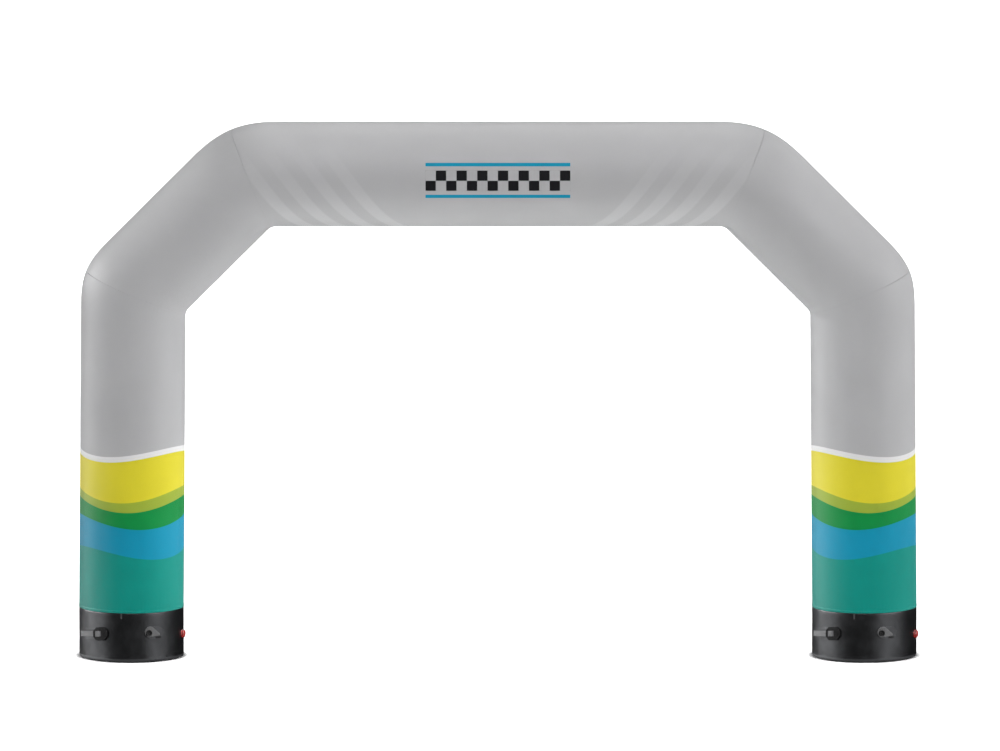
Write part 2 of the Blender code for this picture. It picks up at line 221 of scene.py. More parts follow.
def makeBox(name, size, watts, gloss, place, aim):
    # one kind of box gives even light, and the other only shows as gloss
    data = bpy.data.lights.new("gloss box" if gloss else "soft box", "AREA")
    data.shape = "RECTANGLE"
    data.size, data.size_y = size
    data.energy = watts
    light = addPiece(name, data)
    light.location = place
    light.rotation_euler = aim.to_track_quat("-Z", "Y").to_euler()
    light.visible_camera = False
    light.visible_diffuse = not gloss
    light.visible_glossy = gloss


def makeSoftbox(kind, turn, rise, kilowatts):
    angle = math.radians(turn)
    up = math.radians(rise)
    away = Vector((math.sin(angle) * math.cos(up), -math.cos(angle) * math.cos(up), math.sin(up)))
    place = Vector((0, 0, studio["aimHeight"])) + away * studio["boxDistance"]
    size = studio[kind + "Size"]
    makeBox(f"{kind} box {turn} {rise}", size, kilowatts * 1000, kind == "gloss", place, -away)


def makeFloor():
    mesh = bpy.data.meshes.new("Floor")
    shape = bmesh.new()
    bmesh.ops.create_circle(shape, cap_ends=True, segments=96, radius=studio["floorRadius"])
    shape.to_mesh(mesh)
    shape.free()
    floor = addPiece("Floor", mesh)
    floor.location.z = -studio["floorDrop"]
    material = bpy.data.materials.new("pale floor")
    material.use_nodes = True
    tree = material.node_tree
    shader = tree.nodes["Principled BSDF"]
    shader.inputs["Base Color"].default_value = (*studio["floorColor"], 1)
    shader.inputs["Roughness"].default_value = studio["floorRoughness"]
    shader.inputs["Specular IOR Level"].default_value = 0
    shader.inputs["Emission Color"].default_value = (1, 1, 1, 1)
    # for the camera the floor is as white as the backdrop, but for a dark line beside each base
    spot = addNode(tree, "ShaderNodeTexCoord").outputs["Object"]
    reach = addNode(tree, "ShaderNodeVectorMath", {0: spot}, operation="LENGTH").outputs["Value"]
    far = ramp(tree, reach, *studio["glowReach"])
    folded = addNode(tree, "ShaderNodeVectorMath", {0: spot}, operation="ABSOLUTE").outputs[0]
    fromFoot = addNode(tree, "ShaderNodeVectorMath", {0: folded, 1: (footX, 0, 0)}, operation="DISTANCE")
    beside = subtract(tree, fromFoot.outputs["Value"], tubeRadius)
    near = ramp(tree, beside, 0.0, studio["contactReach"])
    shine = calc(tree, "MAXIMUM", far, near)
    seen = addNode(tree, "ShaderNodeLightPath").outputs["Is Camera Ray"]
    unseen = multiply(tree, subtract(tree, 1.0, seen), studio["floorLight"])
    shone = add(tree, multiply(tree, shine, seen), unseen)
    tree.links.new(shone, shader.inputs["Emission Strength"])
    mesh.materials.append(material)
    floor.visible_glossy = False


def makeWorld():
    world = bpy.data.worlds.new("Studio")
    bpy.context.scene.world = world
    world.use_nodes = True
    tree = world.node_tree
    tree.nodes.clear()
    # only the camera sees the backdrop, and the boxes alone light the arch
    seen = addNode(tree, "ShaderNodeLightPath").outputs["Is Camera Ray"]
    backdrop = addNode(tree, "ShaderNodeBackground", {
        "Strength": multiply(tree, seen, studio["backdrop"]), "Color": (1, 1, 1, 1),
    })
    addNode(tree, "ShaderNodeOutputWorld", {"Surface": backdrop.outputs[0]})
    world.cycles_visibility.glossy = False


makeCamera()
makeWorld()
makeFloor()
for kind in ("cloth", "gloss"):
    for box in studio[kind + "Boxes"]:
        makeSoftbox(kind, **box)
for box in studio["underBoxes"]:
    place = Vector((0, box["back"], studio["underHeight"]))
    makeBox("under box", box["size"], box["watts"], box["gloss"], place, Vector((0, 0, 1)))
bpy.context.scene.view_settings.view_transform = "Standard"
print("camera, floor and light are set")


def newTree(name, inputs):
    tree = bpy.data.node_groups.new(name, "GeometryNodeTree")
    tree.interface.new_socket("Geometry", in_out="INPUT", socket_type="NodeSocketGeometry")
    for label, kind in inputs.items():
        tree.interface.new_socket(label, in_out="INPUT", socket_type="NodeSocket" + kind)
    tree.interface.new_socket("Geometry", in_out="OUTPUT", socket_type="NodeSocketGeometry")
    return tree, tree.nodes.new("NodeGroupInput").outputs


def closeTree(tree, geometry, material):
    real = addNode(tree, "GeometryNodeRealizeInstances", {"Geometry": geometry})
    worn = addNode(tree, "GeometryNodeSetMaterial", {"Geometry": real.outputs[0], "Material": material})
    output = tree.nodes.new("NodeGroupOutput")
    tree.links.new(worn.outputs[0], output.inputs[0])
    return tree


def runTree(tree, name, guide, values):
    helper = addPiece(name + "_guide", guide)
    modifier = helper.modifiers.new("Nodes", "NODES")
    modifier.node_group = tree
    for item in tree.interface.items_tree:
        if item.in_out == "INPUT" and item.name in values:
            modifier[item.identifier] = values[item.name]
    mesh = plainMesh(helper, name)
    bpy.data.meshes.remove(guide)
    return mesh


def readAttribute(tree, name):
    node = addNode(tree, "GeometryNodeInputNamedAttribute", {"Name": name}, data_type="FLOAT")
    return node.outputs["Attribute"]


def guideMesh(name, lines, closed=False, **attributes):
    # polylines that a tree follows
    points = [point for line in lines for point in line]
    edges = []
    first = 0
    for line in lines:
        last = first + len(line) - 1
        edges += [(n, n + 1) for n in range(first, last)]
        if closed:
            edges.append((last, first))
        first = last + 1
    mesh = bpy.data.meshes.new(name)
    mesh.from_pydata(points, edges, [])
    for label, values in attributes.items():
        mesh.attributes.new(label, "FLOAT", "POINT").data.foreach_set("value", values)
    return mesh


tubeShape = {
    "puckerChange": 6.0,  # how fast the puckers change along the tube
    "patchScale": 0.21,  # long and short puckers lie in patches
    "patchLength": 2.4,  # the longest ones, as a share of the pucker length
    "leastLength": 0.05,
    "lapEdge": 0.005,
}
stitchShare = {2: 0.88, 3: 1.06}  # the shortest and the longest stitch, as shares of its length


def roundTree():
    # A closed round tube along the guide's points. Each point's girth scales its ring, puckers
    # run square to the nearest seam and fade away from it, and a lap runs along the back.
    tree, given = newTree("Round tube", {
        "Radius": "Float", "Sides": "Int", "Puckers": "Float", "Pucker Depth": "Float",
        "Pucker Length": "Float", "Unevenness": "Float", "Uneven Scale": "Float",
        "Lap Width": "Float", "Lap Height": "Float", "Seed": "Float", "Material": "Material",
    })
    line = addNode(tree, "GeometryNodeMeshToCurve", {"Mesh": given["Geometry"]}).outputs[0]
    upright = {"Curve": line, "Normal": (0, 1, 0)}
    line = addNode(tree, "GeometryNodeSetCurveNormal", upright, mode="FREE").outputs[0]
    ring = addNode(tree, "GeometryNodeCurvePrimitiveCircle", {
        "Resolution": given["Sides"], "Radius": given["Radius"],
    }, mode="RADIUS")
    marked = addNode(tree, "GeometryNodeCaptureAttribute", {"Geometry": ring.outputs["Curve"]})
    marked.capture_items.new("FLOAT", "Around")
    place = addNode(tree, "GeometryNodeSplineParameter")
    tree.links.new(place.outputs["Factor"], marked.inputs["Around"])
    around = marked.outputs["Around"]
    tube = addNode(tree, "GeometryNodeCurveToMesh", {
        "Curve": line, "Profile Curve": marked.outputs["Geometry"],
        "Scale": readAttribute(tree, "girth"), "Fill Caps": True,
    }).outputs[0]

    # noise on a circle closes on itself
    turn = multiply(tree, around, math.tau)
    along = readAttribute(tree, "along")
    changed = multiply(tree, along, tubeShape["puckerChange"])
    spread = calc(tree, "DIVIDE", given["Puckers"], math.pi)
    spot = addNode(tree, "ShaderNodeCombineXYZ", {
        "X": multiply(tree, calc(tree, "COSINE", turn), spread),
        "Y": multiply(tree, sine(tree, turn), spread),
        "Z": add(tree, changed, given["Seed"]),
    }).outputs[0]
    wrinkle = subtract(tree, noise(tree, spot, 1.0, 1.0), 0.5)
    patch = noise(tree, spot, tubeShape["patchScale"], 1.0)
    vary = add(tree, multiply(tree, patch, tubeShape["patchLength"]), tubeShape["leastLength"])
    length = multiply(tree, given["Pucker Length"], vary)
    toSeam = readAttribute(tree, "toSeam")
    fade = calc(tree, "EXPONENT", calc(tree, "DIVIDE", toSeam, multiply(tree, length, -1.0)))
    pucker = multiply(tree, wrinkle, fade, given["Pucker Depth"])
    where = addNode(tree, "GeometryNodeInputPosition").outputs[0]
    swell = subtract(tree, noise(tree, where, given["Uneven Scale"], 1.0), 0.5)
    swell = multiply(tree, swell, given["Unevenness"])

    # the lap: the ring starts at the back, so both ends of it count
    toBack = calc(tree, "MINIMUM", around, subtract(tree, 1.0, around))
    toBack = multiply(tree, toBack, multiply(tree, given["Radius"], math.tau))
    halfLap = calc(tree, "DIVIDE", given["Lap Width"], 2.0)
    lap = ramp(tree, subtract(tree, toBack, halfLap), 0.0, tubeShape["lapEdge"], 1.0, 0.0)
    lap = multiply(tree, lap, given["Lap Height"])

    rise = add(tree, pucker, swell, lap)
    normal = addNode(tree, "GeometryNodeInputNormal").outputs[0]
    push = addNode(tree, "ShaderNodeVectorMath", {0: normal, "Scale": rise}, operation="SCALE").outputs[0]
    tube = addNode(tree, "GeometryNodeSetPosition", {"Geometry": tube, "Offset": push}).outputs[0]

    # UV in metres: round the tube, then along it. The last column reads one turn on.
    middle = addNode(tree, "GeometryNodeFieldOnDomain", {"Value": around}, domain="FACE").outputs[0]
    low = calc(tree, "LESS_THAN", around, 0.1)
    wrapped = multiply(tree, low, calc(tree, "GREATER_THAN", middle, 0.3))
    girth = multiply(tree, given["Radius"], math.tau)
    full = multiply(tree, add(tree, around, wrapped), girth)
    flat = addNode(tree, "ShaderNodeCombineXYZ", {"X": full, "Y": along}).outputs[0]
    tube = addNode(tree, "GeometryNodeStoreNamedAttribute", {
        "Geometry": tube, "Name": "UVMap", "Value": flat,
    }, data_type="FLOAT2", domain="CORNER").outputs[0]
    return closeTree(tree, tube, given["Material"])


def stitchTree():
    # short rounded stitches of thread laid end to end along the guide
    tree, given = newTree("Stitches", {
        "Pitch": "Float", "Length": "Float", "Thickness": "Float", "Seed": "Int", "Material": "Material",
    })
    line = addNode(tree, "GeometryNodeMeshToCurve", {"Mesh": given["Geometry"]}).outputs[0]
    spaced = {"Curve": line, "Length": given["Pitch"]}
    dots = addNode(tree, "GeometryNodeCurveToPoints", spaced, mode="LENGTH")
    ball = {"Segments": 6, "Rings": 4, "Radius": 0.5}
    thread = addNode(tree, "GeometryNodeMeshUVSphere", ball).outputs[0]
    thread = addNode(tree, "GeometryNodeSetShadeSmooth", {"Geometry": thread}).outputs[0]
    spread = {**stitchShare, "Seed": given["Seed"]}
    jitter = addNode(tree, "FunctionNodeRandomValue", spread, data_type="FLOAT")
    size = addNode(tree, "ShaderNodeCombineXYZ", {
        "X": given["Thickness"], "Y": given["Thickness"],
        "Z": multiply(tree, given["Length"], jitter.outputs[1]),
    }).outputs[0]
    rows = addNode(tree, "GeometryNodeInstanceOnPoints", {
        "Points": dots.outputs["Points"], "Instance": thread,
        "Rotation": dots.outputs["Rotation"], "Scale": size,
    }).outputs[0]
    return closeTree(tree, rows, given["Material"])


roundTube = roundTree()
stitchRow = stitchTree()
print("geometry trees are built")


def newMaterial(name, color, roughness, **constants):
    material = bpy.data.materials.new(name)
    material.use_nodes = True
    tree = material.node_tree
    shader = tree.nodes["Principled BSDF"]
    shader.inputs["Base Color"].default_value = (*color, 1)
    shader.inputs["Roughness"].default_value = roughness
    for label, value in constants.items():
        shader.inputs[label].default_value = value
    return material, tree, shader


def objectPlace(tree):
    return addNode(tree, "ShaderNodeTexCoord").outputs["Object"]


def flatPlace(tree):
    # the piece's own cut in metres: x along it, y across it
    uv = addNode(tree, "ShaderNodeUVMap", uv_map="UVMap").outputs[0]
    return split(tree, uv)


def raiseGrain(tree, shader, height, distance, strength=1.0, under=None):
    inputs = {"Strength": strength, "Distance": distance, "Height": height}
    if under:
        inputs["Normal"] = under
    bump = addNode(tree, "ShaderNodeBump", inputs).outputs[0]
    tree.links.new(bump, shader.inputs["Normal"])
    return bump


def tint(tree, shader, color, *shares):
    # the color times each share
    for share in shares:
        gray = addNode(tree, "ShaderNodeCombineXYZ", dict.fromkeys("XYZ", share)).outputs[0]
        product = addNode(tree, "ShaderNodeVectorMath", {0: color, 1: gray}, operation="MULTIPLY")
        color = product.outputs[0]
    tree.links.new(color, shader.inputs["Base Color"])
    return color


cloth = {
    "gray": (0.475, 0.475, 0.485),
    "white": (0.80, 0.80, 0.80),
    "yellow": (0.76, 0.67, 0.038),
    "lime": (0.35, 0.45, 0.052),
    "green": (0.008, 0.275, 0.062),
    "blue": (0.010, 0.30, 0.47),
    "teal": (0.008, 0.29, 0.24),
    "black": (0.012, 0.012, 0.014),
    "lightGray": (0.552, 0.552, 0.562),
    "threadPitch": 0.0011,
    "roughness": 0.56,
    "specular": 0.45,
    "slubScale": 240.0,
    "mottle": 0.025,
    "mottleScale": 2.3,
    # the weave's painted shade and painted highlight, as shares of the colour
    "threadShade": (0.965, 1.03),
    "seamShade": 0.975,  # painted shade: the cloth is painted a little darker where it dips into a seam
    "seamReach": 0.008,
    "twistScale": 2600.0,
}

legPrint = {
    # each boundary: height at the leg's middle, wave height, wave phase in degrees
    "lines": [(1.535, 0.030, 20), (1.495, 0.030, 20), (1.215, 0.045, 60), (1.145, 0.045, 75),
              (1.015, 0.040, 110), (0.790, 0.038, 150)],
    "colors": ["white", "yellow", "lime", "green", "blue", "teal"],
    "waves": 2,
    # over this height the painted shade at the hem's rolled edge fades out
    "hemShade": 0.005,
    "edge": 0.0006,
}

headerPrint = {
    "square": 0.075,
    "columns": 14,
    "ruleGap": 0.030,
    "ruleHeight": 0.026,
    "barMiddles": [1.08, 1.30, 1.52, 1.74],  # distance of each slanted bar from the middle
    "barWidth": 0.11,
    "barSlant": 0.75,  # how far a bar moves out for each metre up the cloth
    "barFade": (-0.45, 0.35),
    "barEdge": 0.012,
    "edge": 0.0008,
}


def plainGray(tree, place):
    node = addNode(tree, "ShaderNodeRGB")
    node.outputs[0].default_value = (*cloth["gray"], 1)
    return node.outputs[0]


def legBands(tree, place):
    # wavy level bands; the two legs mirror each other
    x, y, z = split(tree, place)
    outward = subtract(tree, absolute(tree, x), legX)
    turn = multiply(tree, calc(tree, "ARCTAN2", y, outward), legPrint["waves"])
    color = plainGray(tree, place)
    edge = legPrint["edge"]
    for (height, wave, phase), shade in zip(legPrint["lines"], legPrint["colors"]):
        swing = sine(tree, add(tree, turn, math.radians(phase)))
        level = add(tree, multiply(tree, swing, wave), height)
        below = ramp(tree, subtract(tree, level, z), -edge, edge)
        color = blendColors(tree, below, color, cloth[shade])
    # painted shade: the rolled edge of the hem lies in the shade of the cover and is painted black
    paintedHemShade = ramp(tree, z, baseHeight - legPrint["hemShade"], baseHeight, 1.0, 0.0)
    return blendColors(tree, paintedHemShade, color, cloth["black"])


def within(tree, value, middle, halfWidth, edge):
    away = absolute(tree, subtract(tree, value, middle))
    return ramp(tree, away, halfWidth - edge, halfWidth + edge, 1.0, 0.0)


def headerBars(tree, place):
    # a chequered band between two rules, and slanted bars of lighter gray to both sides,
    # all repeated on the front and the back
    x, y, z = split(tree, place)
    level = subtract(tree, z, headerZ)
    up = multiply(tree, calc(tree, "ARCTAN2", level, absolute(tree, y)), tubeRadius)
    out = absolute(tree, x)
    edge = headerPrint["edge"]
    color = plainGray(tree, place)

    slid = subtract(tree, out, multiply(tree, up, headerPrint["barSlant"]))
    fade = ramp(tree, up, *headerPrint["barFade"], 1.0, 0.0)
    for middle in headerPrint["barMiddles"]:
        bar = within(tree, slid, middle, headerPrint["barWidth"] / 2, headerPrint["barEdge"])
        color = blendColors(tree, multiply(tree, bar, fade), color, cloth["lightGray"])

    square = headerPrint["square"]
    halfLength = square * headerPrint["columns"] / 2
    inLength = within(tree, x, 0.0, halfLength, edge)
    column = sine(tree, multiply(tree, x, math.pi / square))
    row = sine(tree, multiply(tree, up, math.pi / square))
    steep = math.pi / square * edge
    dark = ramp(tree, multiply(tree, column, row), -steep, steep)
    inBand = multiply(tree, inLength, within(tree, up, 0.0, square, edge))
    color = blendColors(tree, multiply(tree, dark, inBand), color, cloth["black"])
    ruleMiddle = square + headerPrint["ruleGap"] + headerPrint["ruleHeight"] / 2
    rule = within(tree, absolute(tree, up), ruleMiddle, headerPrint["ruleHeight"] / 2, edge)
    return blendColors(tree, multiply(tree, rule, inLength), color, cloth["blue"])


def clothMaterial(name, colorOf):
    material, tree, shader = newMaterial(name, cloth["gray"], cloth["roughness"], **{
        "Sheen Weight": 0.05, "Sheen Roughness": 0.5, "Specular IOR Level": cloth["specular"],
    })
    place = objectPlace(tree)
    u, v, _ = flatPlace(tree)
    turns = math.pi / cloth["threadPitch"]
    across = sine(tree, multiply(tree, u, turns))
    along = sine(tree, multiply(tree, v, turns))
    weave = multiply(tree, across, along)
    slubs = noise(tree, place, cloth["slubScale"])
    raiseGrain(tree, shader, add(tree, weave, slubs), cloth["threadPitch"] * 0.25, 0.35)
    stains = noise(tree, place, cloth["mottleScale"], 3.0)
    mottle = ramp(tree, stains, 0.25, 0.75, 1 - cloth["mottle"], 1 + cloth["mottle"])
    # painted shade and highlight: the weave is painted darker where its threads dip and lighter where
    # they rise
    thread = ramp(tree, weave, -1, 1, *cloth["threadShade"])
    # painted shade towards each seam, where the cloth dips
    toSeam = addNode(tree, "ShaderNodeAttribute", attribute_name="toSeam").outputs["Fac"]
    seam = ramp(tree, toSeam, 0.0, cloth["seamReach"], cloth["seamShade"], 1.0)
    color = tint(tree, shader, colorOf(tree, place), mottle, thread, seam)
    # the print shows through its own gloss
    tree.links.new(color, shader.inputs["Specular Tint"])
    return material


coating = {
    "color": (0.004, 0.004, 0.0045),
    # paler than the base's coating: partly a paler coating and partly a painted highlight for the light
    # the patches catch
    "patchColor": (0.0125, 0.0125, 0.0135),
    "roughness": 0.36,
    "rubbed": (0.012, 0.030),  # below these heights the foot of a base is rubbed dull
    "scrimPitch": 0.0022,  # the fabric under the coating shows through faintly
    "weldMiddle": 0.00625,  # from the piece's edge
    "weldWidth": 0.0045,
    "weldTicks": 0.002,
    "grainScale": 900.0,
    "scuffScale": 11.0,
    "dustHeight": 0.10,
}


def coatingMaterial(name, color, weld=None):
    # weld gives the distance from the piece's edge, for the line that the welding iron leaves
    material, tree, shader = newMaterial(name, color, coating["roughness"], **{
        "Specular IOR Level": 0.52, "Specular Tint": (0.93, 0.95, 1.0, 1),
    })
    place = objectPlace(tree)
    u, v, _ = flatPlace(tree)
    turns = math.tau / coating["scrimPitch"]
    scrim = add(tree, sine(tree, multiply(tree, u, turns)), sine(tree, multiply(tree, v, turns)))
    grain = noise(tree, place, coating["grainScale"])
    bump = raiseGrain(tree, shader, add(tree, multiply(tree, scrim, 0.12), grain), 0.0002, 0.16)
    if weld:
        depth = weld(tree, u, v)
        line = within(tree, depth, coating["weldMiddle"], coating["weldWidth"] / 2, 0.0006)
        ticks = sine(tree, multiply(tree, add(tree, u, v), math.tau / coating["weldTicks"]))
        groove = multiply(tree, line, add(tree, multiply(tree, ticks, 0.2), -1.0))
        raiseGrain(tree, shader, groove, 0.0006, 0.8, bump)
    scuffs = noise(tree, place, coating["scuffScale"], 5.0, 0.65)
    rough = ramp(tree, scuffs, 0.3, 0.75, coating["roughness"] - 0.03, coating["roughness"] + 0.05)
    height = split(tree, place)[2]
    rubbed = ramp(tree, height, *coating["rubbed"], 0.5, 0.0)
    tree.links.new(add(tree, rough, rubbed), shader.inputs["Roughness"])
    low = ramp(tree, height, 0.0, coating["dustHeight"], 1.0, 0.0)
    dust = ramp(tree, multiply(tree, low, ramp(tree, scuffs, 0.45, 0.75)), 0.0, 1.0, 1.0, 1.4)
    tint(tree, shader, color, ramp(tree, scuffs, 0.2, 0.8, 0.9, 1.1), dust)
    return material


webbing = {
    "color": (0.165, 0.166, 0.175),
    "tabColor": (0.045, 0.045, 0.048),
    "ribPitch": 0.0017,
    "yarnPitch": 0.0031,
    "fuzzScale": 700.0,
}


def webbingMaterial(name, color):
    # yarns stand in slanted rows that turn at each rib, as in herringbone webbing
    material, tree, shader = newMaterial(name, color, 0.62, **{
        "Specular IOR Level": 0.3, "Sheen Weight": 0.1, "Sheen Roughness": 0.4,
    })
    u, v, _ = flatPlace(tree)
    place = objectPlace(tree)
    rib = sine(tree, multiply(tree, u, math.tau / webbing["ribPitch"]))
    zigzag = calc(tree, "PINGPONG", v, webbing["yarnPitch"])
    slant = multiply(tree, add(tree, u, zigzag), math.tau / (webbing["yarnPitch"] * 0.6))
    yarns = add(tree, multiply(tree, sine(tree, slant), 0.7), multiply(tree, rib, 0.5))
    fuzz = noise(tree, place, webbing["fuzzScale"], 3.0, 0.7)
    raiseGrain(tree, shader, add(tree, yarns, fuzz), 0.0003, 0.7)
    worn = ramp(tree, fuzz, 0.2, 0.8, 0.93, 1.07)
    # painted shade and highlight: the webbing is painted darker in the grooves between its yarns and ribs
    # and lighter on their tops
    tint(tree, shader, color, ramp(tree, yarns, -1.2, 1.2, 0.82, 1.12), worn)
    return material


moulding = {"grainScale": 1400.0, "waveScale": 60.0, "rubScale": 35.0, "toneScale": 90.0, "rubbed": 0.05}
plastics = {
    "buckle": {"color": (0.012, 0.012, 0.013), "roughness": 0.55, "specular": 0.06},
    # partly the plastic's own black and partly painted shade, for the shade down the valve's hole; the
    # pull bar uses it too
    "throat": {"color": (0.004, 0.004, 0.005), "roughness": 0.5, "specular": 0.2},
    "collar": {"color": (0.085, 0.086, 0.09), "roughness": 0.5, "specular": 0.4},
    "cap": {"color": (0.42, 0.022, 0.02), "roughness": 0.38, "specular": 0.5},
}


def mouldedMaterial(name, color, roughness, specular):
    # moulded plastic: fine spark grain, slight waviness and roughness that varies a little in patches
    material, tree, shader = newMaterial(name, color, roughness, **{"Specular IOR Level": specular})
    place = objectPlace(tree)
    grain = noise(tree, place, moulding["grainScale"], 3.0, 0.6)
    waves = noise(tree, place, moulding["waveScale"])
    raiseGrain(tree, shader, add(tree, grain, multiply(tree, waves, 0.6)), 0.0002, 0.3)
    rubs = noise(tree, place, moulding["rubScale"], 4.0, 0.6)
    rough = ramp(tree, rubs, 0.3, 0.7, roughness - moulding["rubbed"], roughness + moulding["rubbed"])
    tree.links.new(rough, shader.inputs["Roughness"])
    tone = noise(tree, place, moulding["toneScale"], 3.0)
    tint(tree, shader, color, ramp(tree, tone, 0.25, 0.75, 0.94, 1.06))
    return material


def threadMaterial(name, color, colorOf=None):
    # where colorOf is given, the thread is printed together with the cloth
    material, tree, shader = newMaterial(name, color, 0.55, **{"Sheen Weight": 0.15})
    place = objectPlace(tree)
    twist = noise(tree, place, cloth["twistScale"])
    raiseGrain(tree, shader, twist, 0.0001, 0.5)
    dye = colorOf(tree, place) if colorOf else color
    tint(tree, shader, dye, ramp(tree, twist, 0.3, 0.7, 0.82, 1.02))
    return material


clothLooks = {
    "leg": clothMaterial("leg cloth", legBands),
    "haunch": clothMaterial("haunch cloth", plainGray),
    "header": clothMaterial("header cloth", headerBars),
}
baseCoating = coatingMaterial("base coating", coating["color"])
strapWeave = webbingMaterial("strap webbing", webbing["color"])
tabWeave = webbingMaterial("tab tape", webbing["tabColor"])
mouldings = {kind: mouldedMaterial(kind + " plastic", **look) for kind, look in plastics.items()}
coverThreads = {
    "leg": threadMaterial("leg thread", cloth["gray"], legBands),
    "haunch": threadMaterial("haunch thread", cloth["gray"]),
    "header": threadMaterial("header thread", cloth["gray"]),
}
strapThread = threadMaterial("strap thread", (0.30, 0.30, 0.31))
print("materials are made")


panel = {
    "sides": 592,
    "fineStep": 0.0016,
    "growth": 1.22,
    "bendStep": 0.018,
    "straightStep": 0.07,
    "seamDip": 0.0004,
    "dipLength": 0.003,
    "puckers": 100,
    "puckerDepth": 0.0024,
    "puckerLength": 0.05,
    "unevenness": 0.0012,
    "unevenScale": 2.2,
    "lapWidth": 0.016,
    "lapHeight": 0.0006,
    "hemOverlap": 0.0055,  # how far the hem hangs over the base
    "hemHeight": 0.021,
    "hemStand": 0.0011,
    "hemRound": 0.0016,
    "hemStep": 0.0012,
    "hemRow": 0.0045,  # from either edge of the hem to its row of stitches
    "seamRow": 0.006,
    "rowStart": 0.03,  # the rows down the lap end short of the hem and of the seams
    "rowEnd": 0.01,
    "guideOut": 0.002,  # a row's guide runs this far off the cloth before it is laid on it
    "ringPoints": 420,
    "rowStep": 0.02,
    "stitchPitch": 0.006,
    "stitchLength": 0.0046,
    "stitchThickness": 0.0008,
}


def pathSections():
    # straight and bent stretches of the left half's middle line, from the ground up to x = 0
    radius = tubeRadius + path["bendInside"]
    cut = radius * math.tan(path["bend"] / 2)
    cornerZ = headerZ - (legX - path["shoulderX"]) / math.tan(path["bend"])
    haunch = math.hypot(legX - path["shoulderX"], headerZ - cornerZ)
    return [
        ("straight", cornerZ - cut),
        ("bend", radius * path["bend"]),
        ("straight", haunch - 2 * cut),
        ("bend", radius * path["bend"]),
        ("straight", path["shoulderX"] - cut),
    ], radius


sections, bendRadius = pathSections()
lengths = [length for kind, length in sections]
lowSeam = lengths[0] + lengths[1] / 2
highSeam = sum(lengths[:3]) + lengths[3] / 2
halfLength = sum(lengths)


def pathPoint(distance):
    # place on the middle line, this far from the ground by way of the left leg
    if distance > halfLength:
        return mirrorX([pathPoint(2 * halfLength - distance)])[0]
    spot, lean = Vector((-legX, 0, 0)), 0.0
    for kind, length in sections:
        passed = min(distance, length)
        if kind == "straight":
            spot += Vector((math.sin(lean), 0, math.cos(lean))) * passed
        else:
            turned = lean + passed / bendRadius
            step = Vector((math.cos(lean) - math.cos(turned), 0, math.sin(turned) - math.sin(lean)))
            spot += step * bendRadius
            lean = turned
        distance -= passed
        if distance <= 0:
            break
    return spot


def mirrorX(points):
    return [Vector((-point.x, point.y, point.z)) for point in points]


def isBent(distance):
    passed = 0.0
    for kind, length in sections:
        if distance <= passed + length:
            return kind == "bend"
        passed += length
    return False


def stations(start, end):
    # distances along the middle line: close together at a seam, wider away from it
    def run(origin, limit, direction):
        spots, step, spot = [origin], panel["fineStep"], origin
        while True:
            widest = panel["bendStep"] if isBent(spot) else panel["straightStep"]
            spot += direction * min(step, widest)
            step *= panel["growth"]
            if (limit - spot) * direction <= 0:
                return spots
            spots.append(spot)

    middle = (start + end) / 2
    return run(start, middle, 1) + run(end, middle, -1)[::-1]


def seamGirth(toSeam):
    return 1 - panel["seamDip"] * math.exp(-toSeam / panel["dipLength"]) / tubeRadius


def hemGirth(aboveHem):
    # the folded hem stands a little proud, with a rounded lower edge
    edge = min(aboveHem / panel["hemRound"], 1)
    fold = min(max((panel["hemHeight"] - aboveHem) / panel["hemStep"], 0), 1)
    drawnIn = panel["hemRound"] * (1 - math.sqrt(1 - (1 - edge) ** 2))
    return 1 + (panel["hemStand"] * fold - drawnIn) / tubeRadius


def fillOut(mesh):
    # moves the outside of each bend out, most at its seam and nothing at its ends, and leans
    # the straight stretch of a leg out towards its foot
    radius = tubeRadius + path["bendInside"]
    cut = radius * math.tan(path["bend"] / 2)
    bendStart = lengths[0]
    low = Vector((radius - legX, 0, bendStart))
    turn = path["bend"]
    into = Vector((math.cos(turn), 0, -math.sin(turn))) * radius
    shoulder = Vector((-path["shoulderX"], 0, headerZ))
    high = shoulder - Vector((math.sin(turn), 0, math.cos(turn))) * cut + into
    bends = ((low, 0.0, path["lowerFullness"]), (high, turn, path["upperFullness"]))
    for vert in mesh.vertices:
        half = -1 if vert.co.x > 0 else 1
        for pivot, start, fullness in bends:
            arm = Vector((vert.co.x * half - pivot.x, 0, vert.co.z - pivot.z))
            share = (math.atan2(arm.z, -arm.x) - start) / path["bend"]
            beyond = arm.length - radius
            if 0 < share < 1 and 0 < beyond < 2 * tubeRadius:
                push = fullness * math.sin(math.pi * share) ** 2 * beyond / tubeRadius
                out = arm.normalized() * push
                vert.co += Vector((out.x * half, 0, out.z))
        if vert.co.z < bendStart:
            lean = min((bendStart - vert.co.z) / (bendStart - baseHeight), 1)
            vert.co.x -= path["splay"] * lean * half


def roundPiece(name, sizes, points, girth, toSeam, along, material, seed, reshape):
    # a panel of the cover or a base, with the sizes of its kind
    guide = guideMesh(name, [points], girth=girth, toSeam=toSeam, along=along)
    mesh = runTree(roundTube, name, guide, {
        "Radius": tubeRadius, "Sides": sizes["sides"], "Puckers": float(sizes["puckers"]),
        "Pucker Depth": sizes["puckerDepth"], "Pucker Length": sizes["puckerLength"],
        "Unevenness": sizes["unevenness"], "Uneven Scale": sizes["unevenScale"],
        "Lap Width": sizes["lapWidth"], "Lap Height": sizes["lapHeight"],
        "Seed": float(seed), "Material": material,
    })
    reshape(mesh)
    mesh.shade_smooth()
    mesh.set_sharp_from_angle(angle=math.radians(50))
    return addPiece(name, mesh)


